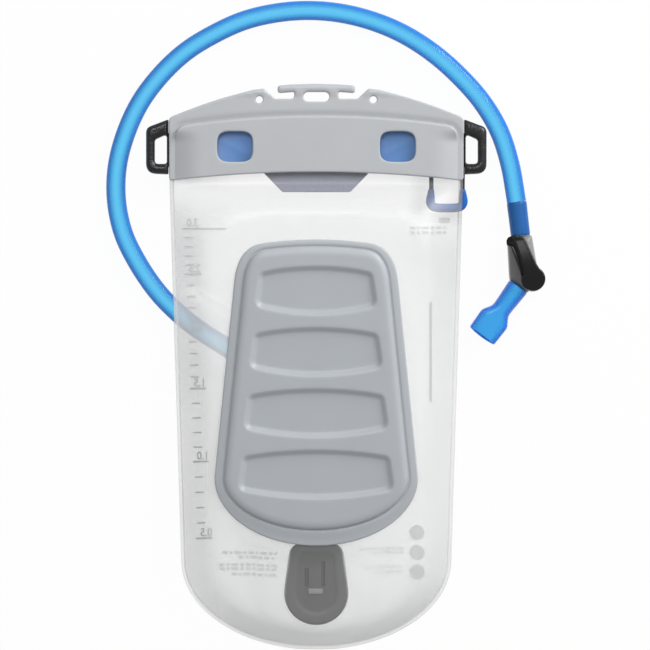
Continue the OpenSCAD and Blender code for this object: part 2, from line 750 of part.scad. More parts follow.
module pull_cord() {
    arm = pull_w / 2;
    color("dimgray") on_pull() union() {
        translate([-arm, 0, 0]) rotate([0, 90, 0]) cylinder(d = pull_cord_d, h = pull_w);
        for (s = [-1, 1]) translate([s * arm, 0, 0]) {
            sphere(d = pull_cord_d);
            rotate([90, 0, 0]) cylinder(d = pull_cord_d, h = -cord_low);
        }
    }
}

module pull_grip() {
    arm = pull_w / 2;
    wide = grip_t / 2;
    far = arm + wide;
    near = arm - wide;
    bar_y = grip_bar - pull_len;
    outer = [[far, cord_low], [far, -pull_len], [-far, -pull_len], [-far, cord_low]];
    inner = [[-near, cord_low], [-near, bar_y], [near, bar_y], [near, cord_low]];
    radii = [0, grip_round, grip_round, 0, 0, grip_inner_round, grip_inner_round, 0];
    color("dodgerblue") on_pull() translate([0, 0, -grip_t / 2]) linear_extrude(grip_t)
        polygon(rounded(concat(outer, inner), radii));
}

// Pull loops on the ends of the zip, with a tab under the cover
module pull_loop() {
    far = loop_x + loop_reach;
    low = loop_y;
    high = loop_y + loop_h;
    hole_near = loop_x + loop_inner;
    hole_far = far - loop_bar;
    edge = rounded([[loop_x, low], [far - loop_low_cut[0], low + 0.2], [far, low + loop_low_cut[1]],
        [far, high - loop_nose_drop], [far - loop_nose[0], high - loop_nose[1]], [loop_x, high]],
        [0, 3, 3, 2, 2, 0]);
    gap = rounded([[hole_near, low + loop_gap_low], [hole_far, low + loop_gap_low],
        [hole_far, high - loop_gap_high[1]], [hole_near, high - loop_gap_high[0]]], [1.5, 2, 2, 1.5]);
    difference() {
        union() {
            translate([0, 0, seam_z - loop_t * loop_under]) linear_extrude(loop_t) polygon(edge);
            translate([zip_end, low + loop_tab_low, loop_tab_z])
                cube([hole_near - zip_end, loop_h - loop_tab_low - loop_tab_high, loop_tab_t]);
        }
        translate([0, 0, seam_z - loop_t]) linear_extrude(2 * loop_t) polygon(gap);
    }
}

module left_pull_loop() { color([0.16, 0.16, 0.17]) mirror([1, 0, 0]) pull_loop(); }

module right_pull_loop() { color([0.16, 0.16, 0.17]) pull_loop(); }

// Grip tab on the front, under the lower tape
tab_drop = 7.2;
tab_gap = 0.9;

module front_grip_tab() {
    top_y = y_zip - slider_half - tab_gap;
    low_y = y_cover - tab_drop;
    edge_y = y_cover + cover_arch;
    color("gray") translate([0, 0, tape_z - tab_t]) linear_extrude(tab_t) polygon(rounded(
        [[-tab_low_w / 2, low_y], [tab_low_w / 2, low_y], [tab_top_w / 2, edge_y], [tab_top_w / 2, top_y],
            [-tab_top_w / 2, top_y], [-tab_top_w / 2, edge_y]], [3, 3, 4, 1, 1, 4]));
}

// Teardrop outline, a round end with straight sides to a blunt top
function teardrop(r, top_w, top_y, round_top) =
    let (half = top_w / 2)
    let (round_end = [for (i = [0:16]) let (a = -90 + 95 * i / 16) [r * cos(a), port_y + r * sin(a)]])
    let (top = corner(round_end[16], [half, top_y], [0, top_y], round_top))
    mirrored(concat(round_end, top));

base_top_w = 34;
base_top_r = 9;
base_well_w = 22.8;
base_well_d = 0.8;
base_well_taper = 3;
base_well_drop = 4.5;
base_well_r = 6;
base_bar = [8.5, 3.3];
base_bar_y = -0.5;
base_slot = [2, 15, 0.7];
base_slot_x = 5.5;
base_slot_y = 3;
vent_x = 2.2;
vent_y = 1.2;
vent_r = 0.8;
neck_wall = 2.8;
neck_depth = 2;

module port_base() {
    top_y = port_y + port_len;
    well_z = port_base_t - base_well_d;
    color("gray") translate([0, 0, base_z]) difference() {
        union() {
            linear_extrude(port_base_t) polygon(teardrop(port_r, base_top_w, top_y, base_top_r));
            translate([0, port_y, -film_t - neck_depth]) cylinder(r = neck_r, h = film_t + neck_depth + 0.1);
        }
        difference() {
            translate([0, 0, well_z]) linear_extrude(port_base_t) polygon(teardrop(base_well_w / 2,
                base_well_w - base_well_taper, top_y - base_well_drop, base_well_r));
            translate([-base_bar[0] / 2, port_y + base_bar_y, 0])
                cube([base_bar[0], base_bar[1], port_base_t]);
        }
        for (s = [-1, 1]) translate([s * base_slot_x - base_slot[0] / 2, port_y + base_slot_y,
            well_z - base_slot[2]]) cube([base_slot[0], base_slot[1], port_base_t]);
        translate([0, port_y, -film_t - neck_depth - 1])
            cylinder(r = neck_r - neck_wall, h = film_t + neck_depth + 1 + well_z);
        for (s = [-1, 1]) translate([s * vent_x, port_y + vent_y, 0])
            cylinder(r = vent_r, h = port_base_t + 1);
    }
}

// Cylinders along Y, from a start to an end
module along_y(r, from, to) {
    translate([0, from, port_axis_z]) rotate([-90, 0, 0]) cylinder(r = r, h = to - from);
}

socket_bulge = 2;
socket_taper = 1.5;
seat_land = 0.8;

module port_socket() {
    half = socket_w / 2;
    color("darkgray") difference() {
        translate([0, 0, port_foot_z]) linear_extrude(port_deck_z - port_foot_z) difference() {
            union() {
                translate([0, port_y]) circle(r = half + socket_bulge);
                polygon(rounded([[-half - socket_taper, port_y], [half + socket_taper, port_y],
                    [half, mouth_y], [-half, mouth_y]], [0, 0, 2, 2]));
            }
            translate([-socket_w, back_y - socket_w]) square([2 * socket_w, socket_w]);
        }
        along_y(socket_bore_r, seat_y, mouth_y + 1);
        along_y(poppet_r - seat_land, seat_y - seat_t - 1, seat_y + 1);
        along_y(chamber_r, back_y - 1, seat_y - seat_t);
        translate([0, port_y, port_axis_z]) cylinder(r = neck_r - neck_wall, h = port_deck_z);
        translate([0, port_y, port_deck_z - neck_depth - 0.1])
            cylinder(r = neck_r + fit_gap, h = 2 * neck_depth);
        translate([-latch_w / 2 - side_gap, latch_y - latch_t / 2 - fit_gap, 0])
            cube([latch_w + 2 * side_gap, latch_t + 2 * fit_gap, latch_roof]);
    }
}

cap_rim = 1.1;
cap_rim_t = 2;

module port_cap() {
    color("darkgray") union() {
        along_y(chamber_r - fit_gap, back_y, back_y + cap_len);
        along_y(chamber_r + cap_rim, back_y - cap_rim_t, back_y);
    }
}

module latch_plate() {
    color("cornflowerblue") difference() {
        translate([-latch_w / 2, latch_y - latch_t / 2, latch_z])
            cube([latch_w, latch_t, latch_top - latch_z]);
        translate([0, latch_y - latch_t, latch_hole_z]) rotate([-90, 0, 0])
            cylinder(r = latch_hole_r, h = 2 * latch_t);
        for (s = [-1, 1]) translate([s * spring_x, latch_y, spring_floor])
            cylinder(r = spring_r + spring_wire + 0.05, h = latch_top);
    }
}

module latch_springs() {
    rise = latch_roof - spring_floor - 2 * spring_wire - 0.1;
    color("silver") for (s = [-1, 1]) translate([s * spring_x, latch_y, spring_floor + spring_wire + 0.05])
        wire(helix(spring_r, 4, rise), spring_wire, 6);
}

module poppet() {
    color("white") union() {
        along_y(poppet_stem_r, poppet_back - 4, tip_y - 0.1);
        along_y(poppet_r, poppet_back, poppet_back + poppet_t);
    }
}

module poppet_seal() {
    color("black") difference() {
        along_y(poppet_r - 0.2, poppet_back + poppet_t, poppet_back + poppet_t + seal_t);
        along_y(poppet_stem_r + fit_gap, poppet_back, seat_y);
    }
}

module poppet_spring() {
    rise = poppet_back - back_y - cap_len - 2 * poppet_wire - 0.1;
    color("silver") translate([0, back_y + cap_len + poppet_wire + 0.05, port_axis_z]) rotate([-90, 0, 0])
        wire(helix(poppet_spring_r, 5, rise), poppet_wire, 6);
}

barb_step = 0.4;
barb_first = 3;
barb_pitch = 5;
barb_cone = 4;
plug_bore_y = 2.5;
plug_cross_y = 3.6;
plug_cross_r = 1.6;
ring_groove_w = 1.3;
latch_play = 0.4;

module hose_plug() {
    start = hose_route[0][1];
    color("slategray") difference() {
        union() {
            along_y(tip_r, tip_y, tip_y + tip_len);
            along_y(plug_r, tip_y + tip_len, mouth_y + collar_gap);
            along_y(collar_r, mouth_y + collar_gap, start);
            along_y(barb_r - barb_step, start, start + barb_len);
            for (i = [0:2]) translate([0, start + barb_first + i * barb_pitch, port_axis_z])
                rotate([-90, 0, 0]) cylinder(r1 = barb_r, r2 = barb_r - barb_step, h = barb_cone);
        }
        along_y(passage_r, tip_y + plug_bore_y, start + barb_len + 1);
        translate([-plug_r, tip_y + plug_cross_y, port_axis_z]) rotate([0, 90, 0])
            cylinder(r = plug_cross_r, h = 2 * plug_r);
        for (i = [0:1]) plug_groove(ring_y + i * ring_pitch, plug_r - 2 * ring_r, ring_groove_w);
        plug_groove(latch_y, groove_r, latch_t + latch_play);
    }
}

// A groove round the plug
module plug_groove(y, r, w) {
    difference() {
        along_y(plug_r + 1, y - w / 2, y + w / 2);
        along_y(r, y - w, y + w);
    }
}

module plug_o_rings() {
    color("black") for (i = [0:1]) translate([0, ring_y + i * ring_pitch, port_axis_z]) rotate([-90, 0, 0])
        rotate_extrude() translate([plug_r + fit_gap - 0.02 - ring_r, 0]) circle(r = ring_r);
}

module hose() {
    color("deepskyblue") hollow_tube(hose_route, hose_od / 2, hose_id / 2, hose_sides, [0, 1, 0], cuff_dir);
}

// The cuff and valve, in lines that run down from the hose's end
module on_valve() {
    translate([hose_end[0], hose_end[1], valve_z]) rotate([0, 0, cuff_lean]) children();
}
module along_cuff(r, from, to) {
    translate([0, from, 0]) rotate([90, 0, 0]) cylinder(r = r, h = from - to);
}
module along_outlet(r, from, to) {
    translate([outlet[0], outlet[1], 0]) rotate([0, 0, outlet_angle]) translate([from, 0, 0])
        rotate([0, 90, 0]) cylinder(r = r, h = to - from);
}

module hose_cuff() {
    color("mediumblue") on_valve() difference() {
        along_cuff(hose_od / 2, 0, valve_top);
        along_cuff(barb_r + fit_gap, 1, valve_top - 1);
    }
}

module valve_body() {
    half = valve_t / 2;
    face = bite_neck_r + 0.2;
    left = outlet + face * [cos(outlet_angle - 90), sin(outlet_angle - 90)];
    right = outlet + face * [cos(outlet_angle + 90), sin(outlet_angle + 90)];
    color("lightgray") on_valve() difference() {
        union() {
            translate([0, 0, -half]) linear_extrude(valve_t) union() {
                polygon(rounded([[-9, valve_top], [7.2, valve_top], [pivot[0] + 4, pivot[1] + 6], right, left,
                    [-10.4, left[1] + 3]], [2, 2, 0, 1.5, 1.5, 2]));
                translate(pivot) circle(r = pivot_boss_r);
            }
            along_cuff(barb_r, valve_top + barb_len, valve_top - 1);
            along_outlet(barb_r, -1, bite_neck_len - 3);
        }
        along_cuff(passage_r, valve_top + barb_len + 1, pivot[1]);
        along_outlet(passage_r, -7, bite_neck_len);
        translate([pivot[0], pivot[1], valve_wall - half]) cylinder(r = spool_r + fit_gap, h = valve_t);
    }
}

module valve_lever() {
    edge = rounded([[-9.2, valve_top - 1.4], [-6.6, valve_top + 1], [2, valve_top - 1.6],
        [7.4, valve_top - 20], pivot + [5, 2], pivot + [-5, 0]], [2, 2, 3, 4, 0, 0]);
    color([0.13, 0.13, 0.14]) on_valve() translate([0, 0, valve_t / 2 + lever_gap]) union() {
        linear_extrude(lever_t) polygon(edge);
        translate([pivot[0], pivot[1], 0]) cylinder(r = lever_disc_r, h = lever_t);
    }
}

spool_low = valve_wall - valve_t / 2 + 0.1;
spool_rings = [spool_low + 2, valve_t / 2 - 3];

module valve_spool() {
    color("white") on_valve() translate([pivot[0], pivot[1], 0]) difference() {
        translate([0, 0, spool_low]) cylinder(r = spool_r, h = valve_t / 2 + lever_gap - spool_low);
        translate([-2 * spool_r - spool_land, -spool_r, -passage_r - spool_relief])
            cube([2 * spool_r, 2 * spool_r, 2 * (passage_r + spool_relief)]);
        for (z = spool_rings) translate([0, 0, z - spool_groove / 2]) difference() {
            cylinder(r = spool_r + 1, h = spool_groove);
            translate([0, 0, -1]) cylinder(r = spool_r - 2 * spool_ring_r, h = spool_groove + 2);
        }
    }
}

module spool_o_rings() {
    color("black") on_valve() for (z = spool_rings) translate([pivot[0], pivot[1], z])
        rotate_extrude() translate([spool_r + fit_gap - 0.03 - spool_ring_r, 0]) circle(r = spool_ring_r);
}

// Bite valve: a round neck that flares to a flat mouth
module bite_section(x, w, t) {
    translate([x, 0, 0]) rotate([0, 90, 0]) hull() for (s = [-1, 1])
        translate([0, s * (w - t) / 2, 0]) cylinder(d = t, h = 1, $fn = 32);
}

module bite_valve() {
    lip_x = bite_len - bite_lip;
    color("dodgerblue") on_valve() translate([outlet[0], outlet[1], 0]) rotate([0, 0, outlet_angle])
    difference() {
        union() {
            translate([bite_gap, 0, 0]) rotate([0, 90, 0])
                cylinder(r = bite_neck_r, h = bite_neck_len - bite_gap);
            hull() {
                translate([bite_neck_len - 0.1, 0, 0]) rotate([0, 90, 0])
                    cylinder(r = bite_neck_r, h = 0.1, $fn = 32);
                bite_section(lip_x, bite_w + bite_bulge, bite_t);
            }
            hull() {
                bite_section(lip_x, bite_w + bite_bulge, bite_t);
                bite_section(bite_len - 1, bite_w, bite_t - 1);
            }
        }
        translate([-1, 0, 0]) rotate([0, 90, 0]) cylinder(r = bite_bore_r, h = bite_neck_len - 1);
        rotate([0, 90, 0]) cylinder(r = passage_r, h = bite_len - 2);
        translate([bite_len - 3, -bite_w / 4, -bite_slit / 2]) cube([4, bite_w / 2, bite_slit]);
    }
}

rear_film();
front_film();
rear_plate();
hanger_cover();
zip_tape_upper();
zip_tape_lower();
zip_rail_upper();
zip_rail_lower();
zip_end_stops();
left_pull_loop();
right_pull_loop();
front_grip_tab();
slider();
pull_cord();
pull_grip();
port_base();
port_socket();
port_cap();
latch_plate();
latch_springs();
poppet();
poppet_seal();
poppet_spring();
hose_plug();
plug_o_rings();
hose();
hose_cuff();
valve_body();
valve_lever();
valve_spool();
spool_o_rings();
bite_valve();
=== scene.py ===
"""Dresses the frame of a zip-top hydration bladder: films, moulded pieces, hose, valve and stage."""

import math

import bpy
import numpy as np
from bpy.props import FloatProperty, FloatVectorProperty, PointerProperty
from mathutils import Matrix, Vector
from mathutils.geometry import delaunay_2d_cdt


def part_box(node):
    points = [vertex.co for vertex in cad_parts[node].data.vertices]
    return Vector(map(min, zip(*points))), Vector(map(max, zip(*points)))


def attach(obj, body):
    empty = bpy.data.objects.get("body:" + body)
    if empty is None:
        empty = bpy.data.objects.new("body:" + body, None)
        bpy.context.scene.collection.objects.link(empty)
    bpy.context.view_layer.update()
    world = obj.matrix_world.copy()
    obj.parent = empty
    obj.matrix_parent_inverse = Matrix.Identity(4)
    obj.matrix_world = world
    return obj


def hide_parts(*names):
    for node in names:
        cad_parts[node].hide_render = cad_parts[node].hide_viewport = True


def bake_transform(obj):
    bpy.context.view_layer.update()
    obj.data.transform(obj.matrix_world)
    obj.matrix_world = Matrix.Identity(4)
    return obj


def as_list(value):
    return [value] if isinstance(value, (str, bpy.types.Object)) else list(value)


bl_info = {
    "name": "Hydration Bladder",
    "version": (1, 0, 0),
    "blender": (4, 5, 0),
    "location": "3D View > Sidebar > Bladder",
    "description": "Builds the looks of a zip-top hydration bladder round its frame",
    "category": "Add Mesh",
}

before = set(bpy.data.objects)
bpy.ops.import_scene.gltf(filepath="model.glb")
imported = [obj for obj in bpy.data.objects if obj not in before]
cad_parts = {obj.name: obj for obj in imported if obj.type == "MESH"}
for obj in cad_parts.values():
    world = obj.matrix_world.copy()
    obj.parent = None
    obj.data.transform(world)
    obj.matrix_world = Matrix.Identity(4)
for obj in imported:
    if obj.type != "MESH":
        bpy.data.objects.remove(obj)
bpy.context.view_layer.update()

# A millimetre in metres, and a metre in millimetres
MM = 0.001
TO_MM = 1000.0

# Lines and levels that the films, the plate and the cover share, in millimetres
Y_COVER = 120.8
Y_TOP = 183.8
Y_ROUND = -125.6
Y_ZIP = 143.3
SEAM = 16.0
FILM = 0.8
WELD = 2.8
CROWN = 36.0
TOP_HALF = 95.4
LOW_HALF = 87.75
ROUND_DEPTH = 58.2
PLATE_Z = CROWN + FILM
COVER_Z = SEAM + FILM
COVER_HALF = 95.7
PORT_Y = -146.9
MOUTH_Y = -112.0
HOSE_R = 6.35

# Centre of the hose from the plug round to the sleeve, in millimetres, as the frame has it
HOSE_ROUTE = (
    (0, -105.8, 6.8), (0, -89, 6.8), (-2, -71, 6.6), (-7, -53, 6.4), (-14, -36, 6.4),
    (-23, -21, 6.4), (-34, -7.5, 6.4), (-46, 3.5, 6.4), (-58.5, 12.5, 6.4), (-70.5, 20, 6.4),
    (-82, 28, 6.4), (-94, 38.5, 6.4), (-105, 50.5, 6.4), (-116.5, 67.5, 6.4), (-126, 87, 6.4),
    (-130.5, 108.5, 6.4), (-130, 130.5, 6.4), (-124.5, 152, 6.4), (-115, 172.5, 6.4), (-101.5, 190.5, 6.4),
    (-85.5, 205.5, 6.4), (-67, 217, 6.4), (-47, 226, 6.4), (-25.5, 231, 6.4), (-4, 232.5, 6.4),
    (17.5, 230.5, 6.4), (38.5, 225, 6.4), (58, 216.5, 6.4), (76.5, 204.5, 6.4), (93, 190, 6.4),
    (108, 173, 6.4), (119.5, 153.5, 6.6), (126.5, 131.5, 7.2), (130.7, 107.3, 7.6),
)
HOSE_HIDDEN = 14
VALVE_ORIGIN = HOSE_ROUTE[-1]
CUFF_LEAN = 6.7
PIVOT = (4.3, -51.0)
OUTLET = (-5.3, -54.8)
OUTLET_ANGLE = 226.7


def length_property(name, description, default, low, high):
    return FloatProperty(
        name=name, description=description, default=default, min=low, max=high, unit="LENGTH")


def colour_property(name, description, default):
    return FloatVectorProperty(
        name=name, description=description, default=default, subtype="COLOR", size=3)


class BladderSizes(bpy.types.PropertyGroup):
    """Sizes of the soft and moulded pieces that a user would change."""

    wall_slope: length_property(
        "Plate wall", "Width of the sloped walls of the plate's panel and pockets", 0.0042, 0.001, 0.006)
    plate_raise: length_property(
        "Plate relief", "Height of the plate's raised panel over its flange", 0.0026, 0.001, 0.004)
    film_ripple: length_property(
        "Film ripple", "Height of the shallow waves in the films", 0.00035, 0.0, 0.002)
    edge_radius: length_property(
        "Edge radius", "Radius on the edges of the moulded sheet pieces", 0.0008, 0.0002, 0.002)
    camera_height: length_property(
        "Camera height", "Height of the camera over the floor", 2.2, 0.8, 5.0)
    frame_width: length_property(
        "Frame width", "Width of the picture at the height of the seam", 0.4225, 0.2, 1.0)


class BladderColours(bpy.types.PropertyGroup):
    """Colours of the finishes."""

    film: colour_property("Film", "Tint of the clear film", (0.96, 0.97, 0.97))
    plate: colour_property("Plate", "Grey of the rear plate", (0.415, 0.44, 0.465))
    cover: colour_property("Cover", "Grey of the hanger cover", (0.465, 0.48, 0.50))
    black: colour_property("Black", "Black of the loops and the lever", (0.011, 0.011, 0.012))
    hose: colour_property("Hose", "Blue of the hose and the zip's pull", (0.01, 0.18, 0.68))
    zip: colour_property("Zip", "Blue of the zip's tapes", (0.03, 0.23, 0.64))
    port: colour_property("Port", "Grey of the port in the bag", (0.1, 0.1, 0.102))


class Wire:
    """A node's output, with arithmetic that adds Math nodes."""

    def __init__(self, paint, socket):
        self.paint = paint
        self.socket = socket

    def math(self, operation, left, right):
        return self.paint.add("ShaderNodeMath", {"operation": operation}, {0: left, 1: right})

    def __add__(self, other):
        return self.math("ADD", self, other)

    def __sub__(self, other):
        return self.math("SUBTRACT", self, other)

    def __rsub__(self, other):
        return self.math("SUBTRACT", other, self)

    def __mul__(self, other):
        return self.math("MULTIPLY", self, other)

    __radd__ = __add__
    __rmul__ = __mul__


class Paint:
    """A material with one main shader, whose constants stand on the shader's own sockets."""

    def __init__(self, name, **constants):
        self.material = bpy.data.materials.new(name)
        self.material.use_nodes = True
        self.tree = self.material.node_tree
        self.shader = self.tree.nodes["Principled BSDF"]
        for key, value in constants.items():
            self.shader.inputs[key.replace("_", " ")].default_value = value

    def add(self, kind, settings=None, inputs=None, out=0):
        """Adds any node: its settings first, then the values or links of its sockets."""
        node = self.tree.nodes.new(kind)
        for key, value in (settings or {}).items():
            setattr(node, key, value)
        for key, value in (inputs or {}).items():
            if isinstance(value, Wire):
                self.tree.links.new(value.socket, node.inputs[key])
            else:
                node.inputs[key].default_value = value
        return Wire(self, node.outputs[out])

    def place(self):
        """Place on the object in metres, which is the same in every view."""
        return self.add("ShaderNodeTexCoord", out="Object")

    def axis(self, index):
        """One coordinate of the place on the object."""
        return self.add("ShaderNodeSeparateXYZ", {}, {0: self.place()}, out=index)

    def gloss(self, weight, rough):
        """Lays a clear gloss over the whole finish, stronger at a slant."""
        slant = self.add("ShaderNodeLayerWeight", {}, {"Blend": 0.35}, out="Facing")
        self.over(slant * weight + 0.02, self.add("ShaderNodeBsdfGlossy", {}, {"Roughness": rough}))

    def noise(self, scale, detail, stretch=None):
        """Soft noise over the place on the object."""
        place = self.place()
        if stretch:
            place = self.add("ShaderNodeVectorMath", {"operation": "MULTIPLY"}, {0: place, 1: stretch})
        return self.add("ShaderNodeTexNoise", {}, {"Vector": place, "Scale": scale, "Detail": detail})

    def ramp(self, value, low, high):
        """Zero below low, one above high."""
        return self.add("ShaderNodeMapRange", {"interpolation_type": "SMOOTHSTEP"},
                        {"Value": value, "From Min": low, "From Max": high})

    def mix(self, factor, first, second):
        """A colour between two others."""
        return self.add("ShaderNodeMix", {"data_type": "RGBA"},
                        {"Factor": factor, 6: (*first, 1.0), 7: (*second, 1.0)}, out=2)

    def mottle(self, share, colour, low, high):
        """Varies the base colour between two of its shades."""
        self.feed(Base_Color=self.mix(share, shade(colour, low), shade(colour, high)))

    def feed(self, **sockets):
        """Links values that vary to the main shader's sockets."""
        for key, value in sockets.items():
            self.tree.links.new(value.socket, self.shader.inputs[key.replace("_", " ")])

    def bump(self, height, distance, **more):
        """Fine relief in the shading, up to the distance in metres."""
        self.feed(Normal=self.add("ShaderNodeBump", {}, {"Height": height, "Distance": distance, **more}))

    def levelled(self, share):
        """The normal turned towards straight up or down, for a film that spreads its light sideways."""
        normal = self.add("ShaderNodeNewGeometry", out="Normal")
        rise = self.add("ShaderNodeSeparateXYZ", {}, {0: normal}, out=2)
        sign = self.add("ShaderNodeMath", {"operation": "SIGN"}, {0: rise})
        pole = self.add("ShaderNodeCombineXYZ", {}, {2: sign * share})
        both = self.add("ShaderNodeVectorMath", {"operation": "ADD"}, {0: normal, 1: pole})
        return self.add("ShaderNodeVectorMath", {"operation": "NORMALIZE"}, {0: both})

    def over(self, factor, second):
        """Mixes a second shader over the main one."""
        mixed = self.add("ShaderNodeMixShader", {}, {
            0: factor, 1: Wire(self, self.shader.outputs[0]), 2: second})
        self.tree.links.new(mixed.socket, self.tree.nodes["Material Output"].inputs["Surface"])


def shade(colour, by):
    """The colour made lighter or darker by a factor."""
    return tuple(min(1.0, part * by) for part in colour)


def moulded(name, colour, rough, grain=0.00003, scale=1500.0, cloud=0.08, painted_lifts=(), **constants):
    """Moulded plastic: a fine spark-eroded grain, a faint cloud in the colour and uneven gloss.

    Each painted lift paints light or shade: an axis, the two places on it in metres and the gain of the
    colour past the second.
    """
    paint = Paint(name, **constants)
    cloudy = paint.noise(38.0, 3.0)
    fine = paint.noise(scale, 1.0)
    tone = paint.mix(cloudy, shade(colour, 1.0 - cloud), shade(colour, 1.0 + cloud))
    for axis, low, high, gain in painted_lifts:
        tone = paint.add("ShaderNodeVectorMath", {"operation": "SCALE"}, {
            0: tone, "Scale": paint.ramp(paint.axis(axis), low, high) * (gain - 1.0) + 1.0})
    paint.feed(Base_Color=tone, Roughness=cloudy * 0.12 + (rough - 0.06))
    paint.bump(fine, grain)
    return paint.material


def soft_blue(name, colour, rough, cloud=0.10, clear=0.0, tint=(0.4, 0.83, 1.0), **constants):
    """Translucent blue tube or silicone: faint streaks of tint, a soft gloss, and walls clearer face on."""
    paint = Paint(name, **constants)
    streak = paint.noise(26.0, 2.0)
    if clear:
        slant = paint.add("ShaderNodeLayerWeight", {}, {"Blend": 0.5}, out="Facing")
        face_on = 1.0 - slant
        through = paint.add("ShaderNodeBsdfTransparent", {}, {"Color": (*tint, 1.0)})
        paint.over(clear * face_on * face_on, through)
    paint.mottle(streak, colour, 1.0 - cloud, 1.0 + cloud)
    paint.feed(Roughness=streak * 0.08 + (rough - 0.04))
    paint.bump(paint.noise(900.0, 1.0), 0.00002)
    return paint.material


# Places on the films, in metres, between which their painted shade or haze changes
FOOT_PAINTED_SHADE = (0.095, 0.178)
LEFT_FADE = (0.045, 0.093)
RIGHT_PAINTED_SHADE = (0.04, 0.085)
RIGHT_SHADE_RISE = (-0.02, 0.06)
PULL_FADE = (0.056, 0.07)
PULL_RISE = (0.09, 0.102)
HEAD_PAINTED_SHADE = (0.04, 0.1)
SIDE_THIN = (-0.04, 0.04)


def frosted(name, colour, haze, clear_top, edge_shade, clear_from=0.062, clear_at=0.098, touch=0.0):
    """Frosted film: painted shade greys it towards the foot, the sides and the top, and it casts next to no
    shadow.

    It is clearer near the cover and, by the touch, where it lies on the port.
    """
    paint = Paint(name, Roughness=0.4, Specular_IOR_Level=0.3)
    across, along = paint.axis(0), paint.axis(1)
    foot = paint.ramp(along * -1.0, *FOOT_PAINTED_SHADE)
    left = paint.ramp(across * -1.0, *LEFT_FADE)
    right = paint.ramp(across, *RIGHT_PAINTED_SHADE) * paint.ramp(along, *RIGHT_SHADE_RISE)
    pull = paint.ramp(across, *PULL_FADE) * paint.ramp(along, *PULL_RISE)
    # Painted shade: the base colour darkens towards the foot, the left, the top and the upper right, and it
    # is also darker near the pull
    low = foot * edge_shade + left * (edge_shade * 0.1) + paint.ramp(along, *HEAD_PAINTED_SHADE) * 0.2
    low = low + right * 0.14 + pull * 0.8
    cloud = paint.noise(30.0, 3.0)
    paint.mottle(low + cloud * 0.04, colour, 1.0, 0.5)
    window = paint.ramp(along, clear_from, clear_at) * (1.0 - left * 0.4)
    thin = pull * 0.5 + left * paint.ramp(along * -1.0, *SIDE_THIN) * 0.36
    milk = (cloud * 0.1 + 0.95) * haze * (1.0 - clear_top * window) * (1.0 - thin) + pull * 0.06
    if touch:
        # Inside the port's teardrop the distance beyond it stays under one
        foot_scale, head_gain = 47.9, 10.3
        past = along - PORT_Y * MM
        wide = across * (head_gain * paint.ramp(past, 0.0, 0.033) + foot_scale)
        below = paint.add("ShaderNodeMath", {"operation": "MINIMUM"}, {0: past, 1: 0.0}) * foot_scale
        beyond = wide * wide + below * below + 2.0 * paint.ramp(past, 0.034, 0.04)
        milk = milk * (1.0 - touch + touch * paint.ramp(beyond, 0.85, 1.05))
    paint.feed(Alpha=milk * (1.0 - 0.9 * paint.add("ShaderNodeLightPath", out="Is Shadow Ray")))
    paint.bump(paint.noise(60.0, 2.0), 0.00025, Normal=paint.levelled(3.0))
    paint.gloss(0.07, 0.34)
    return paint.material


def braid(name, colour):
    """Braided cord: crossing diagonal strands."""
    paint = Paint(name, Roughness=0.75)
    strand = paint.add("ShaderNodeTexWave", {"bands_direction": "DIAGONAL"}, {
        "Vector": paint.place(), "Scale": 420.0, "Distortion": 1.5})
    weave = paint.add("ShaderNodeSeparateColor", {}, {0: strand})
    paint.mottle(weave, colour, 0.6, 1.6)
    paint.bump(weave, 0.0003)
    return paint.material


def drawn_wire(name):
    """Drawn spring steel with fine lines along the wire."""
    paint = Paint(name, Metallic=1.0)
    lines = paint.noise(700.0, 2.0, (1.0, 1.0, 6.0))
    paint.feed(Base_Color=paint.mix(lines, (0.46, 0.46, 0.47), (0.66, 0.66, 0.67)))
    paint.feed(Roughness=lines * 0.15 + 0.22)
    return paint.material


def rubber(name, colour):
    """Seal rubber with a dusty bloom."""
    paint = Paint(name, Specular_IOR_Level=0.35)
    bloom = paint.noise(300.0, 4.0)
    paint.mottle(bloom, colour, 0.8, 1.5)
    paint.feed(Roughness=bloom * 0.2 + 0.52)
    return paint.material


def new_piece(name, verts, faces, finish, body, slot, replaces=(), smooth=40.0):
    """A mesh piece from points in millimetres, riding on its body."""
    mesh = bpy.data.meshes.new(name)
    points = [tuple(v) for v in np.asarray(verts, float) * MM]
    mesh.from_pydata(points, [], [list(map(int, f)) for f in faces])
    mesh.validate()
    mesh.shade_smooth()
    mesh.set_sharp_from_angle(angle=math.radians(smooth))
    mesh.materials.append(finish)
    piece = bpy.data.objects.new(name, mesh)
    bpy.context.scene.collection.objects.link(piece)
    settle(piece, body, slot, replaces)
    return piece


def settle(piece, body, slot, replaces):
    """Rides a piece on its body, if it has one, and hides the solids that it stands for; its slot is not
    used.
    """
    if body:
        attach(piece, body)
    if replaces:
        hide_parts(*replaces)


def tube_piece(name, points, radius, finish, body, slot, replaces):
    """A round tube along points in millimetres, as one open curve."""
    curve = bpy.data.curves.new(name, "CURVE")
    curve.dimensions = "3D"
    curve.bevel_depth = radius * MM
    curve.bevel_resolution = 8
    curve.use_fill_caps = True
    spline = curve.splines.new("POLY")
    spline.points.add(len(points) - 1)
    for knot, place in zip(spline.points, points):
        knot.co = (*(float(v) * MM for v in place), 1.0)
    spline.use_smooth = True
    curve.materials.append(finish)
    piece = bpy.data.objects.new(name, curve)
    bpy.context.scene.collection.objects.link(piece)
    settle(piece, body, slot, replaces)
    return piece


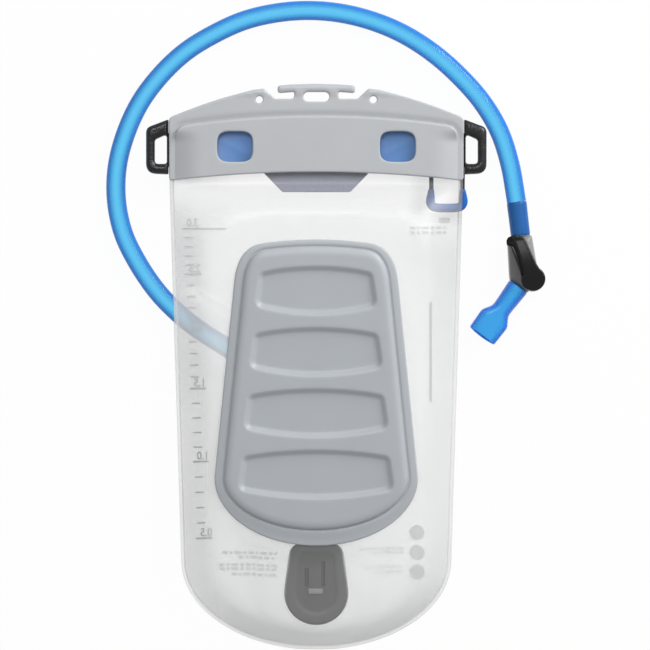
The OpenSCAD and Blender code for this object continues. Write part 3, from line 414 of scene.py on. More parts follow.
def smooth_path(points, steps):
    """Points of a smooth curve that passes through all the given ones."""
    pts = np.asarray(points, float)
    padded = np.vstack([2 * pts[0] - pts[1], pts, 2 * pts[-1] - pts[-2]])
    path = []
    for a, b, c, d in zip(padded, padded[1:], padded[2:], padded[3:]):
        for s in np.arange(steps) / steps:
            path.append(0.5 * (2 * b + (c - a) * s + (2 * a - 5 * b + 4 * c - d) * s * s
                               + (3 * b - a - 3 * c + d) * s ** 3))
    path.append(pts[-1])
    return np.array(path)


def unit(t):
    """Held between zero and one."""
    return np.clip(t, 0.0, 1.0)


def smoothstep(t):
    """Eases from zero to one."""
    t = unit(t)
    return t * t * (3.0 - 2.0 * t)


def edge_drop(depth, radius):
    """How far a rounded edge lies under the face, by distance from the edge."""
    near = np.clip(radius - depth, 0.0, radius)
    return radius - np.sqrt(np.maximum(radius * radius - near * near, 0.0))


def mirrored(half):
    """A whole outline from its right half."""
    half = [tuple(p) for p in half]
    back = [(-x, y) for x, y in reversed(half) if abs(x) > 1e-6]
    return np.array(half + back)


def bend(a, p, b, count):
    """Points on a smooth bend from a to b that leans towards p."""
    s = np.linspace(0.0, 1.0, count)[:, None]
    return (1 - s) ** 2 * a + 2 * s * (1 - s) * p + s * s * b


def ellipse(angles, wide, high, x_mid=0.0, y_mid=0.0):
    """Points of an ellipse at the given angles."""
    return np.column_stack([x_mid + wide * np.cos(angles), y_mid + high * np.sin(angles)])


def round_angles(count):
    """Even angles round a full turn."""
    return np.linspace(0.0, 2.0 * math.pi, count, endpoint=False)


def corner(a, p, b, r, steps=6):
    """One rounded corner of an outline, at p between a and b."""
    a, p, b = (np.asarray(v, float) for v in (a, p, b))
    u = (a - p) / np.linalg.norm(a - p)
    v = (b - p) / np.linalg.norm(b - p)
    half = math.acos(float(np.clip(u @ v, -1.0, 1.0))) / 2.0
    t = min(r / math.tan(half), 0.45 * np.linalg.norm(a - p), 0.45 * np.linalg.norm(b - p))
    return bend(p + u * t, p, p + v * t, steps + 1)


def rounded(points, radii):
    """A closed outline with a radius at each point."""
    n = len(points)
    out = []
    for i, radius in enumerate(radii):
        if radius:
            out.extend(corner(points[i - 1], points[i], points[(i + 1) % n], radius))
        else:
            out.append(np.asarray(points[i], float))
    return np.array(out)


def resampled(loop, spacing):
    """The closed loop with no side longer than the spacing."""
    loop = np.asarray(loop, float)
    out = []
    for a, b in zip(loop, np.roll(loop, -1, axis=0)):
        n = max(1, int(math.ceil(np.linalg.norm(b - a) / spacing)))
        if np.linalg.norm(b - a) > 1e-6:
            out.extend(a + (b - a) * k / n for k in range(n))
    return np.array(out)


def inside(points, loops):
    """Even-odd test of points against all loops at once."""
    odd = np.zeros(len(points), bool)
    x, y = points[:, 0], points[:, 1]
    for loop in loops:
        for (ax, ay), (bx, by) in zip(loop, np.roll(loop, -1, axis=0)):
            if ay != by:
                odd ^= ((ay > y) != (by > y)) & (x < (bx - ax) * (y - ay) / (by - ay) + ax)
    return odd


def to_path(points, path, closed=False):
    """Distance in plan from each point to a path."""
    path = np.asarray(path, float)
    ends = np.roll(path, -1, axis=0) if closed else path[1:]
    best = np.full(len(points), 1e9)
    for a, b in zip(path, ends):
        d = b - a
        size = float(d @ d)
        if size > 1e-12:
            t = unit((points - a) @ d / size)
            best = np.minimum(best, np.linalg.norm(points - a - t[:, None] * d, axis=1))
    return best


def depth_in(points, loop):
    """Distance to a loop, positive inside it."""
    away = to_path(points, loop, True)
    return np.where(inside(points, [loop]), away, -away)


def beside(loop, steps):
    """Points at set distances to the inner side of a loop, without those that fold over at a corner."""
    way = np.roll(loop, -1, axis=0) - np.roll(loop, 1, axis=0)
    size = np.maximum(np.linalg.norm(way, axis=1), 1e-9)
    side = np.stack([-way[:, 1], way[:, 0]], axis=1) / size[:, None]
    points = np.vstack([loop + step * side for step in steps])
    wanted = np.repeat(np.abs(steps), len(loop))
    return points[to_path(points, loop, True) > 0.93 * wanted - 1e-6]


# Shares of a mesh's spacing: between the rows of its even triangles, and kept clear beside set points
ROW_SHARE = 0.866
CLEAR_SHARE = 0.45


def relief(loops, top, bottom, spacing=1.6, rings=(0.25, 0.6, 1.1), creases=()):
    """A solid sheet piece from an outline and its holes, with a top and a bottom height at each point.

    Each crease is a line inside the piece with the distances from it at which the surface needs points.
    """
    loops = [resampled(loop, spacing) for loop in loops]
    low, high = loops[0].min(axis=0), loops[0].max(axis=0)
    across = np.arange(low[0], high[0], spacing)
    along = np.arange(low[1], high[1], spacing * ROW_SHARE)
    grid = np.array([(x + (0.5 * spacing if row % 2 else 0.0), y)
                     for row, y in enumerate(along) for x in across])
    sides = [sign * ring for ring in rings for sign in (1.0, -1.0)]
    offsets = np.vstack([beside(loop, sides) for loop in loops])
    lines = [beside(resampled(line, 0.75 * spacing), steps) for line, steps in creases]

    def clear_of_edge(points, gap):
        away = np.min([to_path(points, loop, True) for loop in loops], axis=0)
        return points[inside(points, loops) & (away > gap)]

    gap = CLEAR_SHARE * spacing
    offsets = clear_of_edge(offsets, 0.9 * min(rings))
    lines = [clear_of_edge(points, max(rings) + 0.2 * spacing) for points in lines]
    grid = clear_of_edge(grid, max(rings) + gap)
    for line, steps in creases:
        inward = depth_in(grid, line)
        grid = grid[(inward < min(steps) - gap) | (inward > max(steps) + gap)]
    offsets = np.vstack([offsets, *lines])
    flat = np.vstack(loops + [offsets, grid])
    links = []
    start = 0
    for loop in loops:
        n = len(loop)
        links.extend((start + k, start + (k + 1) % n) for k in range(n))
        start += n
    plan, _, tris, _, _, _ = delaunay_2d_cdt([Vector(p) for p in flat], links, [], 0, 1e-5)
    plan = np.array([tuple(p) for p in plan])
    tris = np.array([t for t in tris if len(t) == 3])
    tris = tris[inside(plan[tris].mean(axis=1), loops)]
    turn = np.cross(plan[tris[:, 1]] - plan[tris[:, 0]], plan[tris[:, 2]] - plan[tris[:, 0]])
    tris[turn < 0] = tris[turn < 0][:, ::-1]
    used, back = np.unique(tris, return_inverse=True)
    plan, tris = plan[used], back.reshape(-1, 3)
    depth = np.min([to_path(plan, loop, True) for loop in loops], axis=0)
    count = len(plan)
    over = np.column_stack([plan, top(plan, depth)])
    under = np.column_stack([plan, bottom(plan, depth)])
    faces = [tuple(t) for t in tris] + [(c + count, b + count, a + count) for a, b, c in tris]
    edges = dict.fromkeys(pair for a, b, c in tris for pair in ((a, b), (b, c), (c, a)))
    faces.extend((a, a + count, b + count, b) for a, b in edges if (b, a) not in edges)
    return np.vstack([over, under]), faces


def joined(*parts):
    """Several meshes as one list of points and faces."""
    verts, faces, start = [], [], 0
    for points, polys in parts:
        verts.append(np.asarray(points, float))
        faces.extend(tuple(int(i) + start for i in poly) for poly in polys)
        start += len(points)
    return np.vstack(verts), faces


def slab(low_z, high_z, radius):
    """Top and bottom heights of an even slab with rounded edges."""
    def top(plan, depth):
        return high_z - edge_drop(depth, radius)

    def bottom(plan, depth):
        return low_z + edge_drop(depth, radius)
    return top, bottom


def lofted(rings):
    """A closed skin over rings of equal point count."""
    n, last = len(rings[0]), len(rings) - 1
    faces = []
    for i in range(last):
        for k in range(n):
            a, b = i * n + k, i * n + (k + 1) % n
            faces.append((a, b, b + n, a + n))
    faces.append(tuple(range(n - 1, -1, -1)))
    faces.append(tuple(range(last * n, (last + 1) * n)))
    return np.vstack(rings), faces


def turned(profile, sides):
    """A turned piece along its own x axis, from pairs of place and radius."""
    angles = round_angles(sides)
    return lofted([np.column_stack([np.full(sides, s), r * np.cos(angles), r * np.sin(angles)])
                   for s, r in profile])


def coil(low, high, radius, wire, turns):
    """A round-wire spring round its own z axis between two heights."""
    t = np.linspace(0.0, 1.0, 20 * turns + 1)
    turn = 2.0 * math.pi * turns * t
    out = np.column_stack([np.cos(turn), np.sin(turn), np.zeros_like(t)])
    rise = low + wire + (high - low - 2.0 * wire) * t
    path = radius * out + np.column_stack([0.0 * t, 0.0 * t, rise])
    ways = np.gradient(path, axis=0)
    up = np.cross(ways / np.linalg.norm(ways, axis=1)[:, None], out)
    a = round_angles(10)[:, None]
    return lofted([p + wire * (np.cos(a) * u - np.sin(a) * v) for p, u, v in zip(path, out, up)])


def swung(points, degrees):
    """Points turned about the upright axis."""
    turn = math.radians(degrees)
    x = points[:, 0] * math.cos(turn) - points[:, 1] * math.sin(turn)
    y = points[:, 0] * math.sin(turn) + points[:, 1] * math.cos(turn)
    return np.column_stack([x, y, points[:, 2]])


def on_valve(points):
    """From the valve's own lines to the frame's."""
    return swung(points, CUFF_LEAN) + np.array(VALVE_ORIGIN)


# Forms of the bag, in millimetres: how far each film bulges, over what run from the cover, how far the hose
# and the port hold the front one up, and the films' mesh
REAR_BULGE = 36.0
REAR_RUN = 45.0
REAR_BLEND = 12.0
FRONT_BULGE = 26.0
FRONT_RUN = 60.0
CALM_RUN = 8.0
HOSE_REACH = HOSE_R + 4.0
PORT_REACH = 24.0
REAR_TOP = Y_COVER + 39.7
FRONT_TOP = Y_COVER + 7.2
FILM_INSET = WELD - 1.0
FILM_WALL = 0.6
FILM_ROWS = 150
FILM_COLUMNS = 131


def half_width(y):
    """Half the bag's width at a place along it."""
    straight = LOW_HALF + (TOP_HALF - LOW_HALF) * (y - Y_ROUND) / (Y_COVER - Y_ROUND)
    low = LOW_HALF * np.sqrt(np.maximum(0.0, 1.0 - ((Y_ROUND - y) / ROUND_DEPTH) ** 2))
    return np.where(y >= Y_COVER, TOP_HALF, np.where(y >= Y_ROUND, straight, low))


def swell(x, y):
    """How full the bag is at a place: one in the middle and nothing at the weld."""
    side = np.abs(x) / np.maximum(half_width(y) - WELD, 1.0)
    foot = np.hypot(x / (LOW_HALF - WELD), (Y_ROUND - y) / (ROUND_DEPTH - WELD))
    return np.maximum(0.0, 1.0 - np.where(y >= Y_ROUND, side, foot) ** 3)


def from_cover(y, run):
    """Share of a run down from the cover's edge."""
    return unit((Y_COVER - WELD - y) / run)


def ripple(x, y):
    """Shallow waves: short ones below the cover and long ones down the sides."""
    near_top = np.exp(-((Y_COVER - y - 14.0) / 13.0) ** 2)
    sides = unit(np.abs(x) / 70.0) ** 3
    waves = np.sin(x * 0.17 + 0.6) * np.sin(x * 0.071 + y * 0.02 + 1.0)
    runs = np.sin(y * 0.085 + x * 0.05) * 0.7 + np.sin(y * 0.033 - 1.0) * 0.6
    return near_top * waves * 1.6 + sides * runs


def rear_height(x, y):
    """The rear film's inner face, which flattens under the plate."""
    t = from_cover(y, REAR_RUN)
    free = REAR_BULGE * swell(x, y) * t * (2.0 - t)
    limit = CROWN - SEAM
    h = unit(0.5 + (limit - free) / REAR_BLEND)
    return SEAM + limit + (free - limit) * h - 0.5 * REAR_BLEND * h * (1.0 - h)


def tent(away, top, fall, run):
    """Height of a film over what holds it up, by distance from it."""
    return top - fall * smoothstep(away / run) - 0.5 * np.maximum(0.0, away - run / 2.0)


def front_height(x, y):
    """The front film's inner face, which lies on the floor and over the hose and the port."""
    flat = np.column_stack([np.ravel(x), np.ravel(y)])
    route = np.array(HOSE_ROUTE[:HOSE_HIDDEN + 1])[:, :2]
    hose = to_path(flat, route).reshape(np.shape(x)) - HOSE_REACH
    port = to_path(flat, [(0.0, PORT_Y), (0.0, MOUTH_Y)]).reshape(np.shape(x)) - PORT_REACH
    free = SEAM - FILM - FRONT_BULGE * swell(x, y) * smoothstep(from_cover(y, FRONT_RUN))
    free = 0.5 * (free + np.sqrt(free * free + 30.0))
    held = np.maximum(tent(hose, 13.55, 9.0, 16.0), tent(port, 13.6, 12.0, 26.0))
    meet = unit(1.0 - np.abs(free - held) / 3.0)
    return np.minimum(SEAM, FILM + np.maximum(free, held) + 0.75 * meet * meet)


def looseness(x, y):
    """Share of the waves that a film shows: none at the weld and the cover."""
    return unit(swell(x, y) * 2.0) * smoothstep(from_cover(y, CALM_RUN))


def front_surface(x, y, wave):
    """The front film's inner face, with shallow waves where it lies free."""
    height = front_height(x, y)
    lifted = unit((height - FILM - 0.5) / 2.0)
    return height + np.abs(wave * ripple(x, y)) * lifted * looseness(x, y) * 0.4


def bag_edge(inset, top):
    """The bag's edge from its right top corner round the foot to the left one."""
    angles = np.linspace(-math.pi / 2.0, 0.0, 40)
    foot = ellipse(angles, LOW_HALF - inset, ROUND_DEPTH - inset, y_mid=Y_ROUND)
    side = [(float(half_width(y)) - inset, y) for y in np.linspace(Y_ROUND + 6.0, Y_COVER, 24)]
    half = np.array([*foot, *side, (TOP_HALF - inset, top)])
    return np.vstack([half[::-1], half[1:] * np.array([-1.0, 1.0])])


def film_shell(height, top):
    """A film as a thin closed shell, row by row from its top edge to the foot, and its grid of places."""
    cols = FILM_COLUMNS
    down = np.sin(np.linspace(0.0, math.radians(84.0), 34))[1:]
    y = np.concatenate([np.linspace(top, Y_COVER, 8)[:-1], np.linspace(Y_COVER, Y_ROUND, FILM_ROWS),
                        Y_ROUND - (ROUND_DEPTH - FILM_INSET) * down])
    half = half_width(y) - FILM_INSET
    half[-len(down):] = (LOW_HALF - FILM_INSET) * np.sqrt(1.0 - down * down)
    crowd = math.pi / 2.0 * 0.82
    u = np.sin(np.linspace(-1.0, 1.0, cols) * crowd) / math.sin(crowd)
    x = u[None, :] * half[:, None]
    grid_y = np.repeat(y[:, None], cols, axis=1)
    z = height(x, grid_y)
    over = np.column_stack([x.ravel(), grid_y.ravel(), z.ravel()])
    under = over - np.array([0.0, 0.0, FILM_WALL])
    count, n = len(over), len(y)
    faces = []
    for r in range(n - 1):
        for k in range(cols - 1):
            a, d = r * cols + k, (r + 1) * cols + k
            faces.append((a, d, d + 1, a + 1))
            faces.append((a + count, a + 1 + count, d + 1 + count, d + count))
    rim = [*range(cols), *(r * cols + cols - 1 for r in range(1, n))]
    rim += [*((n - 1) * cols + k for k in range(cols - 2, -1, -1)), *(r * cols for r in range(n - 2, 0, -1))]
    faces.extend((a, b, b + count, a + count) for a, b in zip(rim, rim[1:] + rim[:1]))
    return np.vstack([over, under]), faces, (x, grid_y, z)


def sheet_area(x, y, z):
    """Area of a grid's surface in square metres."""
    p = np.stack([x, y, z], axis=-1)
    one = np.cross(p[1:, :-1] - p[:-1, :-1], p[:-1, 1:] - p[:-1, :-1])
    two = np.cross(p[1:, :-1] - p[1:, 1:], p[:-1, 1:] - p[1:, 1:])
    return float((np.linalg.norm(one, axis=-1) + np.linalg.norm(two, axis=-1)).sum()) * 0.5e-6


class BLADDER_OT_films(bpy.types.Operator):
    """Makes the two films and the weld round their edge."""

    bl_idname = "bladder.films"
    bl_label = "Films and weld"

    def execute(self, context):
        sizes, tints = context.scene.bladder_sizes, context.scene.bladder_colours
        wave = sizes.film_ripple * TO_MM
        clear = frosted("frosted_rear_film", tints.film, haze=0.3, clear_top=0.86, edge_shade=0.4,
                        clear_from=0.094, clear_at=0.116, touch=0.82)
        milky = frosted("frosted_front_film", tints.film, haze=0.26, clear_top=0.8, edge_shade=0.3)

        def rear(x, y):
            """The rear film's outer face, with waves where neither the plate nor the cover holds it."""
            free = unit((np.abs(x) - 62.0) / 14.0) + unit((y - 86.0) / 10.0)
            return rear_height(x, y) + FILM + wave * ripple(x, y) * unit(free) * looseness(x, y)

        def front(x, y):
            return front_surface(x, y, wave)

        for node, height, top, finish, width, under in (
                ("rear_film", rear, REAR_TOP, clear, 0.215, ["rear_plate", "hanger_cover"]),
                ("front_film", front, FRONT_TOP, milky, 0.205, ["zip_tape_lower", "port_base"])):
            verts, faces, grid = film_shell(height, top)
            film = new_piece("bag_" + node, verts, faces, finish, "bag", "film", [node], 60.0)
            area = sheet_area(*grid)
            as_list(under)
        weld = frosted("frosted_weld", shade(tints.film, 0.84), haze=0.4, clear_top=0.0, edge_shade=0.0)
        around = np.vstack([bag_edge(0.0, Y_COVER + 1.0), bag_edge(WELD, Y_COVER + 1.0)[::-1]])
        band = relief([around], *slab(SEAM - FILM - 0.1, SEAM + FILM + 0.4, 0.7), 1.4, (0.3, 0.7))
        new_piece("edge_weld", *band, weld, "bag", "film")
        return {"FINISHED"}


# Forms of the rear plate and its pockets, in millimetres
PLATE_LOW_HALF = 65.5
PLATE_TOP_HALF = 34.3
PLATE_ROUND_Y = -71.0
PLATE_ROUND_DEPTH = 44.0
PLATE_CROWN_Y = 82.2
PLATE_CROWN_DROP = 2.4
PLATE_BEND_Y = 55.0
PLATE_BEND_DROP = 4.6
PLATE_TAPER = -0.101
PLATE_THICK = 1.6
PANEL_INSET = (6.2, 10.6)
POCKET_COUNT = 4
POCKET_WIDTH = 77.4
POCKET_GROWTH = 7.2
POCKET_TOP_Y = 65.8
POCKET_PITCH = 39.4
POCKET_LENGTH = 33.0
POCKET_CROWN = 4.3
POCKET_SAG = 5.4
POCKET_ROUND = 7.0


def plate_outline(side, end):
    """The plate's edge, or a line at set distances inside its sides and its ends."""
    low, crown = PLATE_LOW_HALF - side, PLATE_CROWN_Y - 0.45 * end
    reach = PLATE_TOP_HALF - 0.15 * side

    def flank(y):
        return np.array((low + PLATE_TAPER * (y - PLATE_ROUND_Y), y))

    angles = np.linspace(-math.pi / 2.0, 0.0, 32)
    foot = ellipse(angles, low, PLATE_ROUND_DEPTH - end, y_mid=PLATE_ROUND_Y)
    top = [(x, crown - PLATE_CROWN_DROP * (x / PLATE_TOP_HALF) ** 2) for x in np.linspace(reach, 0.0, 9)]
    start, turn = flank(PLATE_BEND_Y), flank(crown - PLATE_BEND_DROP)
    shoulder = bend(start, turn, np.array(top[0]), 14)
    return mirrored([*foot, *shoulder[:-1], *top])


def pocket_outline(i):
    """One pocket, counted from the top; each is wider than the one before."""
    half, top = (POCKET_WIDTH + i * POCKET_GROWTH) / 2.0, POCKET_TOP_Y - i * POCKET_PITCH
    low, reach = top - POCKET_LENGTH, half - 12.0
    high_y, low_y = top - POCKET_CROWN, low + POCKET_SAG
    upper = [(x, top - POCKET_CROWN * (x / half) ** 2) for x in np.linspace(reach, 0.0, 8)]
    lower = [(x, low + POCKET_SAG * (x / half) ** 2) for x in np.linspace(0.0, reach, 8)]
    high_end = corner(upper[0], (half - 1.2, high_y), (half, low_y), POCKET_ROUND, 10)
    low_end = corner(lower[-1], (half + 1.2, low_y), (half, high_y), POCKET_ROUND, 10)
    return mirrored([*lower, *low_end, *high_end[::-1], *upper])


class BLADDER_OT_plate(bpy.types.Operator):
    """Makes the ribbed rear plate with its sloped walls and four pockets."""

    bl_idname = "bladder.plate"
    bl_label = "Rear plate"

    def execute(self, context):
        sizes, tints = context.scene.bladder_sizes, context.scene.bladder_colours
        wall, rise, radius = (v * TO_MM for v in (sizes.wall_slope, sizes.plate_raise, sizes.edge_radius))
        panel = plate_outline(*PANEL_INSET)
        pockets = [pocket_outline(i) for i in range(POCKET_COUNT)]

        def top(plan, depth):
            d = depth_in(plan, panel)
            lean = 1.0 - unit(d / (wall * 1.3))
            raised = np.where(d > 0.0, rise * np.sqrt(np.maximum(1.0 - lean ** 2.4, 0.0)), 0.0)
            # A crease at the panel's foot, and the flange falling away from it
            crease = 0.6 * np.exp(-((d + 0.5) / 0.75) ** 2)
            z = PLATE_Z + PLATE_THICK + raised - crease - 0.8 * smoothstep((-d - 1.5) / 7.0)
            for pocket in pockets:
                z = z - rise * smoothstep(depth_in(plan, pocket) / wall)
            return z - edge_drop(depth, radius)

        def bottom(plan, depth):
            return np.maximum(top(plan, np.maximum(depth, radius)) - PLATE_THICK, PLATE_Z)

        creases = [(panel, (-2.6, -1.9, -1.4, -1.0, -0.6, -0.25, 0.0, 0.15, 0.5, 1.1, 2.0, 3.4))]
        creases += [(pocket, (0.0, 0.5, 1.3, 2.1, 2.9, 3.7, 4.3)) for pocket in pockets]
        mesh = relief([plate_outline(0.0, 0.0)], top, bottom, creases=creases)
        finish = moulded("satin_plate_grey", tints.plate, 0.42, scale=1800.0, cloud=0.03)
        new_piece("ribbed_rear_plate", *mesh, finish, "bag", "plate", ["rear_plate"], 50.0)
        return {"FINISHED"}


# Forms of the hanger cover, in millimetres: half widths from the hump down to the post, and the openings
HUMP_X = 41.2
PEAK_X = 34.0
NOTCH_X = 26.8
BAR_X = 25.2
POST_X = 14.4
PANEL_HALF = COVER_HALF - 4.0
COVER_ARCH = 5.6
COVER_THICK = 3.2
WINDOW_X = 52.8
WINDOW_HALF = (11.55, 9.95)
WINDOW_POWER = 0.56
HOLE_X = 37.0
HOLE_R = 2.28


def cover_edge(half, lift):
    """The cover's arched lower edge, or a line beside it."""
    return [(half * s, Y_COVER + COVER_ARCH * (1.0 - s * s) + lift) for s in np.linspace(0.0, 1.0, 17)]


def cover_outline():
    """The cover's edge with its shoulders, the notches beside the posts and the T-bar."""
    y_end, y_hump, y_notch = Y_COVER + 41.0, Y_TOP - 3.0, Y_TOP - 9.8
    y_bar, y_tip = Y_TOP - 5.3, Y_TOP - 1.1
    edge = cover_edge(COVER_HALF, 0.0)
    end = (COVER_HALF, y_end)
    slope = []
    for s in np.linspace(0.1, 0.9, 9):
        slope.append((COVER_HALF + (HUMP_X - COVER_HALF) * s,
                      y_end + (y_hump - 0.9 - y_end) * s + 1.2 * math.sin(math.pi * s)))
    hump, peak, notch = (HUMP_X, y_hump - 0.9), (PEAK_X, y_hump), (NOTCH_X, y_notch)
    post, under = (POST_X, y_notch), (POST_X, y_bar)
    bar_low, bar_high = (BAR_X, y_bar - 0.9), (BAR_X, y_tip)
    turns = (
        (slope[-1], hump, peak, 6.0), (hump, peak, notch, 1.8), (peak, notch, (15.4, y_notch), 2.2),
        (notch, post, (POST_X, Y_TOP - 5.2), 2.2), (post, under, (24.0, y_bar - 0.8), 1.0),
        (under, bar_low, bar_high, 2.4), (bar_low, bar_high, (12.0, Y_TOP - 0.3), 2.4),
    )
    ends = [*corner(edge[-3], edge[-1], end, 2.5), *corner(edge[-1], end, slope[0], 5.0)]
    posts = [point for turn in turns for point in corner(*turn)]
    crown = [(x, Y_TOP - 1.1 * (x / BAR_X) ** 2) for x in np.linspace(20.0, 0.0, 8)]
    return mirrored([*edge[:-2], *ends, *slope, *posts, *crown])


def panel_outline():
    """The cover's raised panel."""
    y_panel = Y_TOP - 20.8
    edge = cover_edge(PANEL_HALF, -9.0)
    top = [(PANEL_HALF * s, y_panel - 6.9 * s * s) for s in np.linspace(1.0, 0.0, 17)]
    end = corner(edge[-1], top[0], top[4], 9.0, 12)
    return mirrored([*edge, *end, *top[4:]])


def squarish(angles, power):
    """A rounded square's two coordinates by angle; a power of one makes a circle."""
    return [np.sign(part) * np.abs(part) ** power for part in (np.cos(angles), np.sin(angles))]


def window_outline(x_mid):
    """One of the two openings that show the zip."""
    x, y = squarish(round_angles(72), WINDOW_POWER)
    return np.column_stack([WINDOW_HALF[0] * x + x_mid, WINDOW_HALF[1] * y + Y_ZIP - 0.45])


def stadium(half, low, high):
    """A slot with round ends."""
    radius = (high - low) / 2.0
    angles = np.linspace(-math.pi / 2.0, math.pi / 2.0, 12)
    return mirrored(ellipse(angles, radius, radius, half - radius, (low + high) / 2.0))


class BLADDER_OT_cover(bpy.types.Operator):
    """Makes the hanger cover with its raised panel, windows, T-bar, slot and lashing holes."""

    bl_idname = "bladder.cover"
    bl_label = "Hanger cover"

    def execute(self, context):
        sizes, tints = context.scene.bladder_sizes, context.scene.bladder_colours
        radius = sizes.edge_radius * TO_MM
        panel = panel_outline()
        holes = [window_outline(-WINDOW_X), window_outline(WINDOW_X)]
        holes.append(stadium(8.4, Y_TOP - 11.6, Y_TOP - 5.4))
        holes += [ellipse(round_angles(28), HOLE_R, HOLE_R, x, Y_TOP - 10.3) for x in (-HOLE_X, HOLE_X)]

        def top(plan, depth):
            d = depth_in(plan, panel)
            x, y = np.abs(plan[:, 0]), plan[:, 1]
            high = smoothstep((y - 146.0) / 8.0)
            lean = 1.0 - unit(d / 1.7)
            # The panel's face crowns up from its edge and runs out at the cover's ends
            end = 4.2 * (1.0 - (1.0 - unit((PANEL_HALF - x) / 20.0)) ** 2)
            face = np.where(d > 0.0, 2.6 * np.sqrt(np.maximum(1.0 - lean ** 2.2, 0.0)), 0.0)
            near_end = smoothstep((x - 62.0) / 26.0) * (1.0 - high)
            z = COVER_Z + COVER_THICK + face * (1.0 - near_end) + (end - 1.6) * near_end
            # A groove follows the panel's upper edge, and the T-bar stands higher with rounder edges
            z = z - 0.9 * smoothstep((d + 3.8) / 3.2) * smoothstep(-d / 0.35) * high
            z = z + 0.3 * np.exp(-((d - 0.7) / 0.45) ** 2) * high
            bar = smoothstep((y - Y_TOP + 8.4) / 2.0)
            return z + 0.5 * bar - edge_drop(depth, radius) - bar * 0.8 * edge_drop(depth, 2.0)

        def bottom(plan, depth):
            return COVER_Z + edge_drop(depth, 0.4)

        creases = [(panel, (-5.6, -4.2, -2.9, -1.8, -0.9, -0.35, 0.0, 0.1, 0.3, 0.7, 1.2, 1.8, 2.8))]
        mesh = relief([cover_outline(), *holes], top, bottom, creases=creases)
        finish = moulded("satin_cover_grey", tints.cover, 0.33, scale=1800.0, cloud=0.03)
        new_piece("hanger_cover_shell", *mesh, finish, "bag", "cover", ["hanger_cover"], 50.0)
        return {"FINISHED"}


def oblong(x0, y0, x1, y1):
    """A plain four-cornered outline."""
    return np.array([(x0, y0), (x1, y0), (x1, y1), (x0, y1)])


class BLADDER_OT_loops(bpy.types.Operator):
    """Makes the two black pull loops and the grip tab under the cover."""

    bl_idname = "bladder.loops"
    bl_label = "Pull loops and tab"

    def execute(self, context):
        tints = context.scene.bladder_colours
        low, near, far = Y_COVER + 4.2, 96.0, 110.7
        edge = rounded([(near, low), (far, low + 0.6), (far, low + 30.4), (near, low + 36.0)],
                       [1.0, 7.6, 4.8, 1.0])
        gap = rounded([(near + 1.2, low + 7.0), (104.9, low + 7.0), (104.9, low + 22.5),
                       (near + 1.2, low + 26.0)], [1.8, 2.4, 2.4, 1.8])
        ring = relief([edge, gap], *slab(11.2, 19.2, 3.4), 1.0, (0.12, 0.4, 0.9, 1.6, 2.4))
        root = relief([oblong(91.5, low + 5.0, 97.0, low + 27.0)], *slab(12.7, 15.7, 0.4), 2.0, (0.3,))
        verts, faces = joined(ring, root)
        black = moulded("grained_black", tints.black, 0.22, 0.00022, 900.0, 0.2)
        new_piece("right_loop", verts, faces, black, "bag", "loops", ["right_pull_loop"], 50.0)
        flipped = verts * np.array([-1.0, 1.0, 1.0])
        new_piece("left_loop", flipped, [tuple(reversed(f)) for f in faces], black, "bag", "loops",
                  ["left_pull_loop"], 50.0)
        shape = rounded([(-22.0, 113.6), (22.0, 113.6), (34.5, 126.4), (34.5, 137.05), (-34.5, 137.05),
                         (-34.5, 126.4)], [3.0, 3.0, 4.0, 1.0, 1.0, 4.0])
        stipple = moulded("stippled_tab_grey", (0.37, 0.4, 0.53), 0.55, 0.0005, 520.0, 0.12)
        tab = relief([shape], *slab(12.7, 14.3, 0.5))
        new_piece("grip_tab", *tab, stipple, "bag", "tab", ["front_grip_tab"], 50.0)
        return {"FINISHED"}


class BLADDER_OT_pull(bpy.types.Operator):
    """Makes the zip's pull: a braided cord loop and a blue handle, both on the slider's hinge."""

    bl_idname = "bladder.pull"
    bl_label = "Zip pull"

    def execute(self, context):
        tints = context.scene.bladder_colours
        slope = math.radians(8.0)
        hinge = np.array((85.3, 132.35, 7.45))
        arm, reach = 10.2, -17.0

        def place(points):
            """From the pull's own lines at its hinge to the frame's."""
            p = np.asarray(points, float)
            y = p[:, 1] * math.cos(slope) - p[:, 2] * math.sin(slope)
            z = p[:, 1] * math.sin(slope) + p[:, 2] * math.cos(slope)
            return hinge + np.column_stack([p[:, 0], y, z])

        def across(half):
            """A whole bend from its right half."""
            return [(-x, y, 0.0) for x, y in reversed(half) if x] + [(x, y, 0.0) for x, y in half]

        loop = across([(4.0, 0.0), (arm - 2.4, -0.1), (arm - 0.5, -1.2), (arm, -3.4), (arm, -10.0),
                       (arm, reach)])
        dark = braid("dark_braid", (0.05, 0.052, 0.06))
        tube_piece("pull_cord_loop", place(smooth_path(loop, 5)), 1.45, dark, "pull", "cord", ["pull_cord"])
        path = smooth_path(across([(0.0, -29.0), (arm - 4.0, -28.8), (arm - 0.9, -27.8), (arm + 0.5, -25.4),
                                   (arm + 0.4, -22.0), (arm, reach + 0.6)]), 6)
        ways = np.gradient(path, axis=0)
        ways /= np.linalg.norm(ways, axis=1)[:, None]
        a = round_angles(20)[:, None]
        tips = {0: 0.72, 1: 0.9}
        rings = []
        for k, (p, way) in enumerate(zip(path, ways)):
            side = np.array((way[1], -way[0], 0.0))
            tip = tips.get(min(k, len(path) - 1 - k), 1.0)
            wide = tip * (2.1 + 0.8 * float(smoothstep((reach - p[1]) / 7.0)))
            rings.append(place(p + wide * np.cos(a) * side + 2.3 * tip * np.sin(a) * np.array((0, 0, 1.0))))
        blue = soft_blue("pull_blue_rubber", shade(tints.hose, 0.8), 0.4)
        new_piece("pull_handle", *lofted(rings), blue, "pull", "grip", ["pull_grip"], 50.0)
        return {"FINISHED"}


